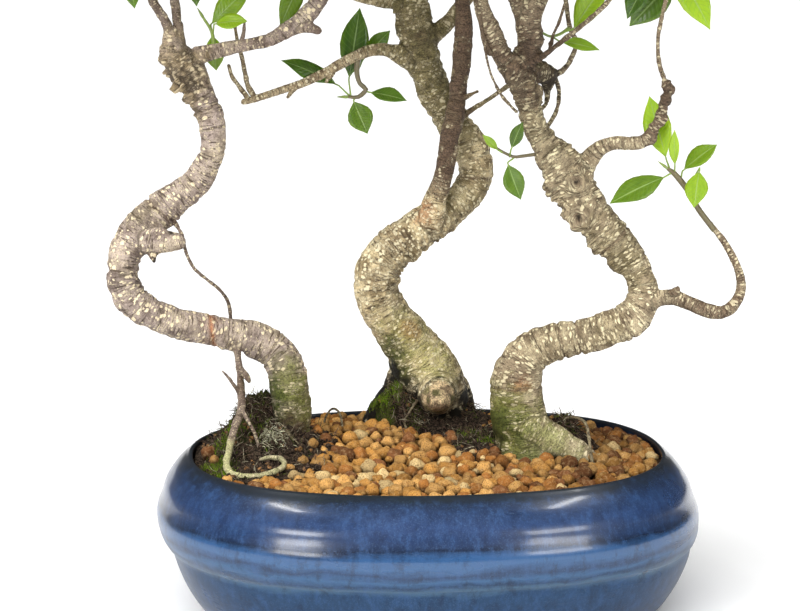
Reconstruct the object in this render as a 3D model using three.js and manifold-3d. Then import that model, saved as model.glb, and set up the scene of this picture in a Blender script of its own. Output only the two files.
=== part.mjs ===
// A ficus bonsai: three crooked trees planted together in one oval glazed pot, with
// peat mounds over their roots, a layer of fired clay grains, and leafy twigs.
// Millimetres, +Z up. The front of the planting looks along -Y.
import * as THREE from "three";
import { mergeVertices } from "three/addons/utils/BufferGeometryUtils.js";
import Module from "manifold-3d";

const wasm = await Module();
wasm.setup();

// Pot: an oval opening, and how far the outside and the inside stand out from its edge.
const rimHeight = 105;
const openingHalfLength = 152.8;
const openingHalfDepth = 120.7;
const ovalPower = 2.34;
const ovalSides = 32;
const footHeight = 8;
const floorTop = 16;
const outsideProfile = [
  [footHeight, 1],
  [22.6, 8.5],
  [37, 14],
  [50.5, 17],
  [52.5, 19],
  [69, 23.4],
  [75.5, 19.6],
  [77.5, 18.2],
  [79.5, 19.6],
  [88, 16.8],
  [97, 10.2],
  [103.4, 3.4],
  [rimHeight, 1],
];
const insideProfile = [
  [floorTop, -10],
  [26, 0],
  [60, 13],
  [88, 8],
  [rimHeight + 1, 0],
];
const footSize = { length: 52, depth: 24, x: 92, y: 66 };
const drainHole = { radius: 12, x: 62 };
const drainMesh = { side: 38, thickness: 1.2, openings: 2, openingSide: 12, bar: 4 };

// Ground: the soil, the grains on it and the peat mounds.
const clearance = 0.3;
const soilTop = 95;
const soilEdge = 4.9;
const grainSpacing = 12;
const grainScatter = 2.4;
const grainSink = 1.5;
const grainRise = 5;
const groundAtWall = 98.6;
// How far what lies on the soil keeps from the opening's edge.
const groundMargin = 0.6;
const moundSides = 16;
const moundSteps = [1, 0.78, 0.5, 0.22];
const moundRipple = { height: 0.9, along: 5.1, across: 4.3 };
// Each swell is x, y, height, and its spread along x and along y.
const swells = [
  [5, 55, 9, 62, 40],
  [-95, 20, 6, 36, 34],
  [72, 2, 5, 42, 30],
];

// Every list below is x, y, z, seen from the front of the planting, which is turned
// a little from the pot's own long axis. A limb's points add its radius.
const frontTurn = -0.089;
// The middle of the planting's overall width and depth, from the pot's middle.
const plantingMiddle = [-6, 11];
const rootDepth = 82;
// A limb's mean radius, and how many sides it has above that.
const limbSides = [[7, 8], [3.6, 6], [1.9, 4], [0, 3]];

const leftTree = {
  wood: {
    trunk: [
      [-90, 20, rootDepth, 13.3],
      [-90, 20, 106, 13.3],
      [-90, 20, 123, 13.3],
      [-90, 20, 139, 12.9],
      [-93, 22, 155, 12.6],
      [-102, 24, 168, 12.3],
      [-116, 22, 175, 12],
      [-131, 18, 179, 10.9],
      [-146, 12, 183, 10.2],
      [-162, 6, 187, 10.1],
      [-177, 2, 194, 10.4],
      [-190, 0, 203, 10.7],
      [-197, 0, 215, 11],
      [-197, 0, 227, 10.7],
      [-194, 2, 238, 11.3],
      [-186, 6, 249, 12.8],
      [-174, 10, 261, 12.3],
      [-163, 12, 270, 10.7],
      [-152, 12, 278, 9.7],
      [-144, 10, 288, 8.9],
      [-139, 8, 299, 8.1],
      [-138, 6, 309, 8.1],
      [-139, 6, 319, 9],
      [-142, 8, 328, 9],
      [-147, 10, 338, 10],
      [-153, 12, 348, 12],
      [-160, 12, 358, 11.3],
      [-163, 10, 367, 8.3],
      [-164, 8, 376, 5.6],
    ],
    upLeft: [
      [-163, 9, 370, 4.6],
      [-168, 4, 385, 3.1],
      [-175, -2, 398, 2.8],
      [-180, -8, 412, 2.5],
      [-186, -16, 432, 2.2],
      [-184, -26, 452, 1.8],
    ],
    up: [
      [-158, 12, 360, 4.8],
      [-160, 10, 380, 3.2],
      [-162, 14, 397, 2.8],
      [-164, 20, 413, 2.6],
      [-168, 30, 435, 2.2],
      [-160, 44, 458, 1.8],
    ],
    right: [
      [-155, 13, 358, 6.4],
      [-143, 12, 363, 5.5],
      [-126, 12, 367, 4.5],
      [-114, 12, 369, 4.2],
      [-101, 12, 372, 4.4],
      [-90, 12, 378, 5.2],
      [-80, 14, 385, 6.1],
      [-72, 15, 394, 5.8],
      [-65, 16, 404, 5],
      [-58, 13, 420, 4.4],
      [-54, 3, 438, 3.6],
      [-62, -10, 458, 2.8],
      [-70, -22, 476, 1.9],
    ],
    rightStub: [
      [-84, 12, 380, 4.5],
      [-76, 10, 380, 3.5],
      [-70, 8, 378, 2.9],
    ],
    burlStub: [
      [-182, 6, 243, 7.8],
      [-169, 2, 243, 4.9],
      [-159, -2, 243, 3.6],
    ],
    hangingRoot: [
      [-167, 8, 258, 1.9],
      [-159, 1, 249, 1.3],
      [-157, 0, 239, 1.2],
      [-152, 2, 226, 1.1],
      [-144, 8, 217, 1.1],
      [-135, 18, 207, 1.1],
      [-131, 30, 196, 1.2],
      [-129, 33, 176, 1.3],
      [-127, 22, 168, 1.5],
    ],
    groundRoot: [
      [-125, 15, 170, 2.4],
      [-123, 8, 158, 2.2],
      [-122, 2, 148, 2.6],
      [-121, -4, 137, 2.7],
      [-122, -10, 130, 2.7],
      [-125, -22, 122, 2.6],
      [-127, -34, 113, 2.4],
      [-128, -47, 106, 2.2],
      [-124, -58, 102.5, 2.2],
      [-113, -63, 102, 2],
      [-101, -60, 103, 1.9],
      [-92, -50, 105, 1.8],
      [-93, -38, 107, 1.7],
      [-101, -32, 107, 1.5],
      [-107, -34, 106, 1.3],
    ],
    rootFork: [
      [-121, -8, 133, 2.2],
      [-116, -12, 126, 1.3],
      [-112, -14, 119, 1.2],
      [-109, -14, 108, 1.1],
    ],
    crownBack: [
      [-58, 13, 420, 3.6],
      [-68, 34, 436, 3],
      [-86, 52, 450, 2.3],
      [-104, 66, 460, 1.7],
    ],
    crownFront: [
      [-54, 3, 438, 3.2],
      [-38, -20, 451, 2.5],
      [-26, -46, 458, 1.8],
    ],
    crownFarLeft: [
      [-180, -8, 412, 2.3],
      [-191, -32, 424, 1.9],
      [-190, -58, 434, 1.5],
    ],
    crownLeftBack: [
      [-186, -16, 432, 2],
      [-200, 6, 446, 1.7],
      [-206, 28, 454, 1.4],
    ],
    crownMiddle: [
      [-164, 20, 413, 2.4],
      [-151, -2, 428, 2.1],
      [-139, -26, 440, 1.8],
      [-130, -50, 447, 1.5],
    ],
    crownTop: [
      [-168, 30, 435, 2.1],
      [-150, 34, 450, 1.9],
      [-134, 22, 464, 1.7],
      [-120, 8, 474, 1.4],
    ],
  },
  tips: [
    "upLeft", "up", "right", "crownBack", "crownFront",
    "crownFarLeft", "crownLeftBack", "crownMiddle", "crownTop",
  ],
  sideTwigs: ["up", "right", "crownBack"],
};

const middleTree = {
  wood: {
    trunk: [
      [15, 62, rootDepth, 15],
      [15, 62, 102, 15],
      [11, 62, 123, 18.4],
      [3, 62, 141, 22],
      [-7, 62, 156, 20],
      [-16, 60, 170, 17.3],
      [-25, 58, 183, 15.9],
      [-32, 56, 195, 15.2],
      [-34, 54, 207, 14.8],
      [-31, 52, 219, 14.7],
      [-23, 52, 229, 14.7],
      [-12, 52, 238, 14.4],
      [-2, 54, 245, 14.2],
      [8, 56, 251, 13.2],
      [19, 58, 258, 11.5],
      [27, 60, 266, 11.1],
      [32, 62, 275, 11.7],
      [33, 63, 286, 12.1],
      [29, 64, 298, 12.4],
      [21, 65, 310, 12],
      [12, 64, 323, 11.4],
      [5, 62, 336, 11.3],
      [0, 60, 349, 11.6],
      [-4, 58, 362, 12.3],
      [-7, 57, 376, 12.2],
      [-9, 56, 389, 11.6],
      [-10, 55, 402, 10.2],
      [-12, 52, 418, 8.4],
      [-8, 48, 434, 6.8],
      [-14, 42, 452, 5],
      [-10, 36, 470, 3.4],
      [-14, 30, 486, 2.2],
    ],
    cutKnob: [
      [6, 60, 143, 12.9],
      [8, 44, 135, 13.1],
      [8, 34, 133, 12],
      [8, 28, 132, 8.7],
    ],
    leftRoot: [
      [-12, 64, 152, 15],
      [-23, 66, 134, 13],
      [-31, 70, 120, 12],
      [-35, 74, 100, 11],
      [-35, 74, 88, 10],
    ],
    rightRoot: [
      [13, 74, 142, 9],
      [21, 74, 130, 9],
      [25, 76, 116, 9],
      [26, 78, 88, 9],
    ],
    frontStem: [
      [3, 46, 250, 9.3],
      [5, 42, 262, 8.3],
      [10, 40, 277, 6.5],
      [13, 38, 291, 6.3],
      [15, 37, 305, 6.2],
      [18, 37, 318, 6.6],
      [20, 38, 331, 5.7],
      [21, 38, 344, 5.7],
      [23, 38, 357, 6.3],
      [24, 38, 370, 6.5],
      [24, 38, 383, 5.9],
      [23, 40, 396, 4.6],
      [21, 42, 409, 3.9],
      [17, 34, 424, 3.5],
      [12, 18, 438, 3],
      [8, -4, 450, 2.4],
      [2, -28, 460, 1.8],
    ],
    frontStemTwig: [
      [21, 38, 319, 2.6],
      [36, 44, 328, 1.5],
      [46, 50, 334, 1.5],
      [58, 58, 341, 1.3],
    ],
    longLeft: [
      [-7, 57, 355, 8.6],
      [-18, 52, 360, 6.6],
      [-26, 50, 363, 4.6],
      [-36, 48, 363, 3.9],
      [-45, 46, 360, 3.7],
      [-55, 44, 355, 3.5],
      [-68, 42, 348, 3.3],
      [-81, 40, 342, 3],
      [-94, 38, 338, 2.8],
      [-106, 36, 334, 2.6],
      [-120, 34, 330, 2.2],
    ],
    longLeftEndTwig: [
      [-112, 35, 332, 2.2],
      [-117, 37, 340, 1.9],
      [-119, 38, 349, 1.6],
      [-121, 38, 359, 1.4],
      [-124, 36, 372, 1.1],
      [-126, 34, 387, 1],
      [-129, 30, 402, 1],
    ],
    longLeftFork: [
      [-117, 35, 332, 2],
      [-123, 32, 341, 1.6],
      [-127, 30, 347, 1.4],
      [-129, 29, 354, 1.3],
    ],
    rightArm: [
      [0, 58, 368, 7],
      [13, 62, 379, 5.3],
      [21, 66, 388, 5],
      [29, 70, 399, 4.7],
      [38, 74, 414, 4.2],
      [48, 74, 430, 3.4],
      [56, 70, 446, 2.6],
      [58, 62, 462, 1.8],
    ],
    upperLeft: [
      [-9, 56, 393, 7.3],
      [-20, 52, 395, 6.2],
      [-33, 46, 397, 5.6],
      [-48, 41, 401, 5.1],
      [-64, 38, 408, 4.2],
      [-84, 38, 418, 3.3],
      [-102, 34, 430, 2.6],
      [-112, 34, 444, 1.8],
    ],
    crownFrontLeft: [
      [-64, 38, 408, 3.4],
      [-74, 12, 416, 2.8],
      [-82, -12, 424, 2.3],
      [-88, -38, 430, 1.7],
    ],
    crownBackLeft: [
      [-12, 52, 418, 5],
      [-30, 66, 430, 3.6],
      [-52, 82, 442, 2.8],
      [-74, 96, 450, 1.8],
    ],
    crownBack: [
      [-8, 48, 434, 4],
      [8, 68, 444, 3.2],
      [20, 88, 452, 2.4],
      [26, 106, 456, 1.7],
    ],
    crownTopLeft: [
      [-14, 42, 452, 3.2],
      [-32, 24, 464, 2.4],
      [-46, 8, 474, 1.8],
    ],
    crownFrontRight: [
      [17, 34, 424, 3],
      [30, 12, 436, 2.4],
      [37, -14, 444, 2],
      [36, -44, 447, 1.6],
    ],
    crownRightBack: [
      [38, 74, 414, 3.2],
      [54, 88, 422, 2.5],
      [72, 100, 430, 1.7],
    ],
  },
  tips: [
    "trunk", "frontStem", "rightArm", "upperLeft", "crownFrontLeft",
    "crownBackLeft", "crownBack", "crownTopLeft", "crownFrontRight", "crownRightBack",
  ],
  sideTwigs: ["upperLeft", "crownBackLeft", "trunk"],
};

const rightTree = {
  wood: {
    trunk: [
      [65, 0, rootDepth, 19],
      [65, 0, 104, 19],
      [61, 0, 125, 18.4],
      [59, 0, 141, 17.7],
      [59, 0, 154, 16.6],
      [65, 0, 167, 14.6],
      [77, -2, 175, 13],
      [90, -4, 179, 12],
      [104, -6, 182, 11.4],
      [116, -8, 186, 11.3],
      [128, -8, 191, 11.8],
      [137, -6, 199, 11],
      [140, -4, 209, 9.7],
      [138, -2, 219, 9.7],
      [133, 0, 229, 10.7],
      [125, 0, 240, 11.7],
      [115, 0, 251, 12],
      [105, 0, 262, 12.9],
      [98, 0, 273, 13.2],
      [92, 2, 284, 14.4],
      [84, 4, 295, 12.7],
      [77, 6, 304, 10],
      [71, 6, 313, 8.1],
      [67, 5, 324, 8],
      [65, 4, 334, 9],
      [62, 4, 344, 9.7],
      [55, 4, 354, 8.6],
    ],
    toe: [
      [65, -6, 121, 14],
      [82, -6, 112, 11.1],
      [97, -8, 105, 8.5],
      [110, -10, 97, 5.9],
    ],
    leftFork: [
      [57, 4, 351, 8],
      [49, 4, 361, 6.7],
      [44, 4, 371, 6.7],
      [40, 4, 380, 6.4],
      [36, 4, 389, 5.4],
      [33, 4, 400, 5],
      [27, 0, 414, 4.4],
      [22, -10, 430, 3.6],
      [20, -26, 444, 2.8],
      [14, -42, 456, 2],
    ],
    rightFork: [
      [60, 6, 350, 7.1],
      [64, 8, 362, 8],
      [66, 8, 373, 8.6],
      [65, 8, 384, 8.4],
      [67, 8, 393, 8],
      [73, 10, 405, 6.4],
      [80, 8, 420, 5.2],
      [86, 2, 438, 4.1],
      [84, -6, 456, 3],
      [88, -12, 474, 2],
    ],
    rightForkLeft: [
      [64, 8, 383, 6.4],
      [58, 8, 395, 5.4],
      [54, 8, 406, 5],
      [50, 4, 420, 4.3],
      [53, -10, 434, 3.4],
      [58, -32, 444, 2.4],
      [62, -56, 450, 1.7],
    ],
    highRight: [
      [98, 2, 287, 8.4],
      [106, 0, 298, 5.8],
      [112, -2, 304, 5],
      [120, -4, 307, 4.5],
      [130, -6, 307, 4.6],
      [139, -8, 309, 4.2],
      [144, -8, 316, 3.6],
      [149, -8, 325, 3],
      [151, -8, 333, 2.9],
      [154, -8, 341, 2.4],
      [151, -8, 347, 1.8],
      [147, -8, 359, 1.7],
      [146, -8, 373, 1.6],
      [148, -8, 386, 1.6],
      [151, -8, 399, 1.6],
      [155, -10, 415, 1.6],
      [163, -14, 434, 1.5],
    ],
    lowRight: [
      [136, -5, 200, 8.6],
      [148, -8, 206, 5.8],
      [158, -10, 208, 5],
      [170, -12, 204, 4.9],
      [180, -14, 200, 4.8],
      [190, -16, 199, 4.4],
      [198, -16, 205, 3.8],
      [202, -14, 217, 3.2],
      [198, -12, 231, 2.7],
      [190, -10, 245, 2.3],
      [181, -8, 256, 2],
    ],
    rightTwig: [
      [65, 7, 357, 3.2],
      [76, 2, 364, 1.9],
      [86, -2, 372, 1.7],
      [98, -6, 382, 1.5],
      [109, -8, 392, 1.5],
      [118, -10, 402, 1.5],
      [134, -22, 422, 1.4],
    ],
    gall: [
      [67, 14, 352, 5.4],
      [78, 23, 348, 7.3],
      [78, 24, 339, 2.8],
      [78, 22, 332, 1.8],
      [73, 16, 326, 1.6],
    ],
    gallTwig: [
      [80, 24, 347, 2.6],
      [89, 26, 352, 1.9],
      [94, 28, 359, 1.7],
      [97, 30, 369, 1.7],
      [93, 30, 378, 1.5],
      [91, 30, 390, 1.4],
      [90, 32, 404, 1.4],
      [98, 46, 428, 1.4],
    ],
    gallRoot: [
      [83, 24, 348, 1.6],
      [86, 24, 337, 1.4],
      [84, 18, 326, 1.4],
      [79, 12, 318, 1.4],
      [73, 7, 312, 1.4],
    ],
    crownFrontLeft: [
      [27, 0, 414, 3.4],
      [22, -24, 420, 2.7],
      [14, -50, 426, 2.1],
      [4, -74, 430, 1.6],
    ],
    crownRight: [
      [80, 8, 420, 3.8],
      [98, 18, 430, 3],
      [118, 28, 440, 2.4],
      [140, 40, 448, 1.6],
    ],
    crownFrontRight: [
      [86, 2, 438, 3.2],
      [98, -20, 447, 2.6],
      [108, -44, 451, 2],
      [112, -66, 452, 1.6],
    ],
    crownTopRight: [
      [84, -6, 456, 2.6],
      [100, 6, 466, 2],
      [114, 22, 474, 1.5],
    ],
    crownFarRight: [
      [155, -10, 415, 1.6],
      [168, -2, 426, 1.5],
      [180, 10, 436, 1.4],
    ],
  },
  tips: [
    "leftFork", "rightFork", "rightForkLeft", "highRight", "rightTwig", "gallTwig",
    "crownFrontLeft", "crownRight", "crownFrontRight", "crownTopRight", "crownFarRight",
  ],
  sideTwigs: ["crownRight", "highRight"],
};

// Twigs placed one by one, low in the crown. A leaf is where its stalk leaves the
// twig, the blade's base, its tip, its width, and a point that its face looks to.
const hangingTwig = {
  twig: [
    [-45, 46, 360, 2.4],
    [-46, 47, 349, 1.8],
    [-44, 48, 341, 1.5],
    [-40, 49, 337, 1.7],
    [-45, 50, 332, 1.5],
    [-51, 50, 332, 1.2],
  ],
  leaves: [
    [[-50, 50, 332], [-51, 53, 345], [-44, 58, 390], 19, [-50, -100, 380]],
    [[-46, 47, 348], [-40, 62, 358], [-24, 62, 375], 12, [-20, -100, 420]],
    [[-50, 50, 332], [-60, 54, 340], [-96, 50, 356], 15, [-100, -60, 460]],
    [[-41, 49, 336], [-37, 49, 335], [-13, 44, 330], 12, [-20, -80, 440]],
    [[-47, 50, 332], [-48, 49, 329], [-39, 46, 308], 17, [-40, -100, 330]],
  ],
};
const stemTwig = {
  twig: [
    [69, 2, 299, 1.2],
    [60, 0, 298, 1.1],
    [55, -1, 298, 1],
    [47, -3, 302, 0.9],
    [43, -4, 305, 0.8],
  ],
  leaves: [
    [[57, 0, 298], [52, -3, 293], [60, -8, 271], 14, [40, -100, 290]],
    [[53, -1, 298], [54, -6, 304], [61, -8, 321], 9, [20, -100, 320]],
    [[48, -3, 301], [44, -6, 304], [37, -12, 309], 7, [40, -100, 340]],
  ],
};
const lowRightTwig = {
  twig: [
    [184, -9, 252, 2],
    [174, -9, 265, 1.9],
    [169, -10, 274, 1.8],
    [164, -10, 281, 2],
    [158, -10, 288, 1.8],
    [154, -10, 291, 1.2],
  ],
  leaves: [
    [[157, -10, 289], [151, -13, 286], [116, -20, 270], 17, [120, -100, 330]],
    [[155, -10, 291], [153, -3, 298], [143, 8, 336], 18, [130, -100, 330]],
    [[158, -10, 288], [158, -12, 294], [157, -16, 317], 7, [120, -100, 310]],
    [[162, -10, 283], [165, -4, 290], [187, 6, 305], 14, [150, -90, 380]],
    [[166, -10, 277], [173, -17, 290], [169, -26, 268], 15, [150, -100, 280]],
  ],
};
const greenShoot = {
  twig: [
    [-137, 14, 367, 1.4],
    [-139, 18, 377, 1.1],
    [-144, 20, 385, 0.9],
  ],
  leaves: [
    [[-139, 18, 377], [-139, 23, 382], [-114, 26, 405], 16, [-140, -60, 420]],
    [[-138, 17, 376], [-136, 14, 382], [-115, 6, 384], 13, [-120, -60, 440]],
    [[-139, 18, 375], [-139, 24, 374], [-137, 27, 351], 13, [-130, -60, 370]],
  ],
};
const youngShoot = {
  twig: [
    [93, 30, 379, 1.2],
    [86, 22, 375, 1],
    [79, 14, 374, 0.9],
    [73, 7, 377, 0.8],
  ],
  leaves: [
    [[88, 24, 376], [95, 23, 379], [116, 14, 410], 18, [80, -60, 410]],
    [[80, 15, 374], [86, 10, 371], [110, 0, 366], 9, [90, -80, 430]],
  ],
};

const highRightTwig = {
  twig: [
    [151, -8, 402, 1.5],
    [150, -3, 411, 1.3],
    [148, 1, 420, 1],
  ],
  leaves: [
    [[149, -1, 416], [143, 5, 415], [127, -1, 386], 17, [120, -60, 450]],
    [[150, -3, 412], [157, 4, 411], [129, 4, 381], 21, [130, -100, 400]],
    [[149, 0, 418], [157, -3, 420], [178, -16, 380], 19, [170, -100, 400]],
    [[148, 1, 419], [147, 8, 425], [138, 36, 438], 17, [140, 0, 540]],
  ],
};
const goldTwig = {
  twig: [
    [-69, 16, 398, 1.5],
    [-73, 24, 410, 1.3],
    [-75, 28, 418, 1],
  ],
  leaves: [
    [[-73, 24, 410], [-80, 26, 412], [-95, 22, 380], 14, [-90, -100, 400]],
    [[-74, 26, 414], [-80, 32, 417], [-104, 44, 432], 17, [-100, 20, 540]],
    [[-75, 27, 417], [-72, 32, 422], [-52, 34, 448], 17, [-110, -20, 520]],
  ],
};
const leftTipTwig = {
  twig: [
    [-163, 18, 408, 1.5],
    [-156, 17, 416, 1.2],
    [-152, 18, 424, 1],
  ],
  leaves: [
    [[-155, 17, 418], [-151, 16, 419], [-148, 14, 393], 12, [-130, -100, 400]],
    [[-153, 18, 421], [-150, 24, 424], [-136, 48, 434], 16, [-150, 0, 540]],
  ],
};
const farLeftTwig = {
  twig: [
    [-181, -10, 415, 1.4],
    [-187, -9, 420, 1.2],
    [-192, -6, 427, 1],
  ],
  leaves: [
    [[-188, -8, 421], [-190, -8, 416], [-185, -12, 393], 12, [-160, -100, 400]],
    [[-191, -7, 425], [-195, -8, 429], [-220, -18, 440], 16, [-230, 10, 540]],
    [[-191, -6, 426], [-193, 0, 430], [-206, 26, 424], 15, [-260, 20, 500]],
  ],
};

// Leaves and leafy twigs that follow a rule.
const seed = 26;
const leafLength = 36;
const leafWidthShare = 0.53;
const stalkLength = 7;
const stalkRadius = 0.6;
const kneeLength = 2.4;
// Along the blade: how far from base to tip, half width, keel depth, edge lift.
const bladeStations = [
  [0, 0.1, 0.6, 0],
  [0.3, 0.92, 1.2, 0.08],
  [0.68, 0.86, 1.2, 0.08],
];
const bladeArch = 0.05;
const leafDroop = 0.22;
const leafTilt = 0.45;
const twigLength = 44;
const twigRadius = [1.4, 0.9];
const twigBend = 0.16;
const leavesPerTwig = 6;
const crownMiddle = [-6, 20];
const crownFloor = 400;

const materials = {
  glaze: new THREE.MeshStandardMaterial({ color: 0x1f3f7a, roughness: 0.25, metalness: 0 }),
  soil: new THREE.MeshStandardMaterial({ color: 0x4a382a, roughness: 1, metalness: 0 }),
  peat: new THREE.MeshStandardMaterial({ color: 0x2b241b, roughness: 1, metalness: 0 }),
  grains: new THREE.MeshStandardMaterial({ color: 0xb5793a, roughness: 0.95, metalness: 0 }),
  plastic: new THREE.MeshStandardMaterial({ color: 0x1d1f1e, roughness: 0.6, metalness: 0 }),
  greyBark: new THREE.MeshStandardMaterial({ color: 0x84776b, roughness: 0.85, metalness: 0 }),
  oliveBark: new THREE.MeshStandardMaterial({ color: 0x7a7350, roughness: 0.85, metalness: 0 }),
  brownBark: new THREE.MeshStandardMaterial({ color: 0x86755c, roughness: 0.85, metalness: 0 }),
  leaf: new THREE.MeshStandardMaterial({ color: 0x3c6b20, roughness: 0.4, metalness: 0 }),
};

// Repeatable random numbers from 0 to 1.
function randomFrom(start) {
  let state = start;
  return () => {
    state = (state + 0x6d2b79f5) | 0;
    let t = Math.imul(state ^ (state >>> 15), 1 | state);
    t = (t + Math.imul(t ^ (t >>> 7), 61 | t)) ^ t;
    return ((t ^ (t >>> 14)) >>> 0) / 2 ** 32;
  };
}

// Turns a point given as seen from the front into the pot's own axes.
function place([x, y, z]) {
  return new THREE.Vector3(x, y, z).applyAxisAngle(new THREE.Vector3(0, 0, 1), frontTurn);
}

function closedGeometry(points, faces) {
  const geometry = new THREE.BufferGeometry().setFromPoints(points);
  geometry.setIndex(faces.flat());
  return geometry;
}

function solidOf(geometry) {
  const bare = geometry.index ? geometry.toNonIndexed() : geometry.clone();
  bare.deleteAttribute("normal");
  bare.deleteAttribute("uv");
  const merged = mergeVertices(bare, 1e-4);
  return new wasm.Manifold(
    new wasm.Mesh({
      numProp: 3,
      vertProperties: new Float32Array(merged.attributes.position.array),
      triVerts: new Uint32Array(merged.index.array),
    }),
  );
}

function geometryOf(solid) {
  const mesh = solid.getMesh();
  const geometry = new THREE.BufferGeometry();
  const positions = new Float32Array(mesh.vertProperties);
  geometry.setAttribute("position", new THREE.BufferAttribute(positions, 3));
  geometry.setIndex(new THREE.BufferAttribute(new Uint32Array(mesh.triVerts), 1));
  geometry.computeVertexNormals();
  return geometry;
}

// The largest body of a solid: scraps that a cut leaves behind are dropped.
function mainBody(solid) {
  const bodies = solid.decompose();
  return bodies.reduce((best, body) => (body.volume() > best.volume() ? body : best));
}

// What a set of faces adds to the volume of the solid that they bound.
function volumeOf(faces, points) {
  return faces.reduce((sum, [a, b, c]) =>
    sum + points[a].dot(points[b].clone().cross(points[c])) / 6, 0);
}

// The faces between one ring of point numbers and the next, which both run
// counterclockwise about the way on. Of the two ways to split them, the fuller.
function collar(ring, next, points) {
  const quarters = ring.map((a, i) => {
    const other = (i + 1) % ring.length;
    return [a, ring[other], next[other], next[i]];
  });
  const rising = quarters.flatMap(([a, b, c, d]) => [[a, b, c], [a, c, d]]);
  const falling = quarters.flatMap(([a, b, c, d]) => [[a, b, d], [b, c, d]]);
  return volumeOf(falling, points) > volumeOf(rising, points) + 1e-6 ? falling : rising;
}

// The faces between rings of points, and the face that closes the first ring.
function skinFaces(rings) {
  const count = rings[0].length;
  const points = rings.flat();
  const numbers = rings.map((ring, step) => ring.map((_, i) => step * count + i));
  const faces = numbers.slice(1).flatMap((next, step) => collar(numbers[step], next, points));
  for (let i = 1; i + 1 < count; i += 1) faces.push([0, i + 1, i]);
  return faces;
}

// Joins rings of points into one closed skin.
function loft(rings) {
  const count = rings[0].length;
  const last = (rings.length - 1) * count;
  const faces = skinFaces(rings);
  for (let i = 1; i + 1 < count; i += 1) faces.push([last, last + i, last + i + 1]);
  return closedGeometry(rings.flat(), faces);
}

// Joins rings of points into one closed skin that ends in a tip.
function pointedLoft(rings, tip) {
  const count = rings[0].length;
  const last = (rings.length - 1) * count;
  const faces = skinFaces(rings);
  for (let i = 0; i < count; i += 1) {
    faces.push([last + i, last + ((i + 1) % count), last + count]);
  }
  return closedGeometry([...rings.flat(), tip], faces);
}

// One ring of the pot's oval, standing out from the opening's edge by an offset.
function ovalRing(z, offset, sides = ovalSides) {
  const ring = [];
  for (let i = 0; i < sides; i += 1) {
    const angle = (2 * Math.PI * i) / sides;
    const [c, s] = [Math.cos(angle), Math.sin(angle)];
    ring.push(new THREE.Vector3(
      (openingHalfLength + offset) * Math.sign(c) * Math.abs(c) ** (2 / ovalPower),
      (openingHalfDepth + offset) * Math.sign(s) * Math.abs(s) ** (2 / ovalPower),
      z,
    ));
  }
  return ring;
}

function ovalSolid(profile, inset = 0, sides = ovalSides) {
  return solidOf(loft(profile.map(([z, offset]) => ovalRing(z, offset - inset, sides))));
}

function boxSolid(length, depth, height, x, y, z) {
  return solidOf(new THREE.BoxGeometry(length, depth, height).translate(x, y, z));
}

function potSolid() {
  let pot = ovalSolid(outsideProfile).subtract(ovalSolid(insideProfile));
  for (const side of [-1, 1]) {
    const hole = new THREE.CylinderGeometry(drainHole.radius, drainHole.radius, 4 * floorTop, 20)
      .rotateX(Math.PI / 2)
      .translate(side * drainHole.x, 0, 0);
    pot = pot.subtract(solidOf(hole));
    for (const end of [-1, 1]) {
      const { length, depth, x, y } = footSize;
      const foot = boxSolid(length, depth, footHeight + 2, side * x, end * y, footHeight / 2 + 1);
      pot = pot.add(foot);
    }
  }
  return pot;
}

// The plastic mesh over one drain hole.
function drainMeshSolid(x) {
  const { side, thickness, openings, openingSide, bar } = drainMesh;
  const middle = floorTop + clearance + thickness / 2;
  let mesh = boxSolid(side, side, thickness, x, 0, middle);
  const pitch = openingSide + bar;
  const first = (-pitch * (openings - 1)) / 2;
  for (let i = 0; i < openings; i += 1) {
    for (let j = 0; j < openings; j += 1) {
      const opening = boxSolid(
        openingSide, openingSide, 2 * thickness, x + first + i * pitch, first + j * pitch, middle,
      );
      mesh = mesh.subtract(opening);
    }
  }
  return mesh;
}

// What the soil leaves free for a drain mesh.
function drainMeshRoom(x) {
  const side = drainMesh.side + 2 * clearance;
  const height = drainMesh.thickness + 3 * clearance;
  return boxSolid(side, side, height, x, 0, floorTop + clearance + drainMesh.thickness / 2);
}

// A branch, trunk or root: rings of its radius along its points, grown by a margin.
function limbSolid(points, grow = 0) {
  const places = points.map(place);
  const meanRadius = points.reduce((sum, point) => sum + point[3], 0) / points.length;
  const sides = limbSides.find(([radius]) => meanRadius > radius)[1];
  const last = places.length - 1;
  const along = places.map((_, i) =>
    places[Math.min(i + 1, last)].clone().sub(places[Math.max(i - 1, 0)]).normalize());
  let across = new THREE.Vector3(1, 0, 0).cross(along[0]);
  if (across.length() < 0.3) across = new THREE.Vector3(0, 1, 0).cross(along[0]);
  const rings = places.map((middle, i) => {
    across = across.clone().addScaledVector(along[i], -across.dot(along[i])).normalize();
    const other = along[i].clone().cross(across);
    const push = i === 0 ? -grow : i === last ? grow : 0;
    const centre = middle.clone().addScaledVector(along[i], push);
    const ring = [];
    for (let side = 0; side < sides; side += 1) {
      const angle = (2 * Math.PI * side) / sides;
      const radius = points[i][3] + grow;
      ring.push(centre.clone()
        .addScaledVector(across, radius * Math.cos(angle))
        .addScaledVector(other, radius * Math.sin(angle)));
    }
    return ring;
  });
  return solidOf(loft(rings));
}

function treeSolid(tree, grow = 0) {
  const limbs = Object.values(tree.wood).map((points) => limbSolid(points, grow));
  return limbs.reduce((whole, limb) => whole.add(limb));
}

function groundHeight(x, y) {
  const swell = swells.reduce((sum, [cx, cy, height, sx, sy]) =>
    sum + height * Math.exp(-((x - cx) ** 2) / (2 * sx * sx) - ((y - cy) ** 2) / (2 * sy * sy)), 0);
  return groundAtWall + swell;
}

// The prism that everything above the soil stays inside: the opening less a margin.
function groundPrism(bottom) {
  return ovalSolid([[bottom, -groundMargin], [rimHeight + 60, -groundMargin]]);
}

const soilSurface = soilTop + clearance;

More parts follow.
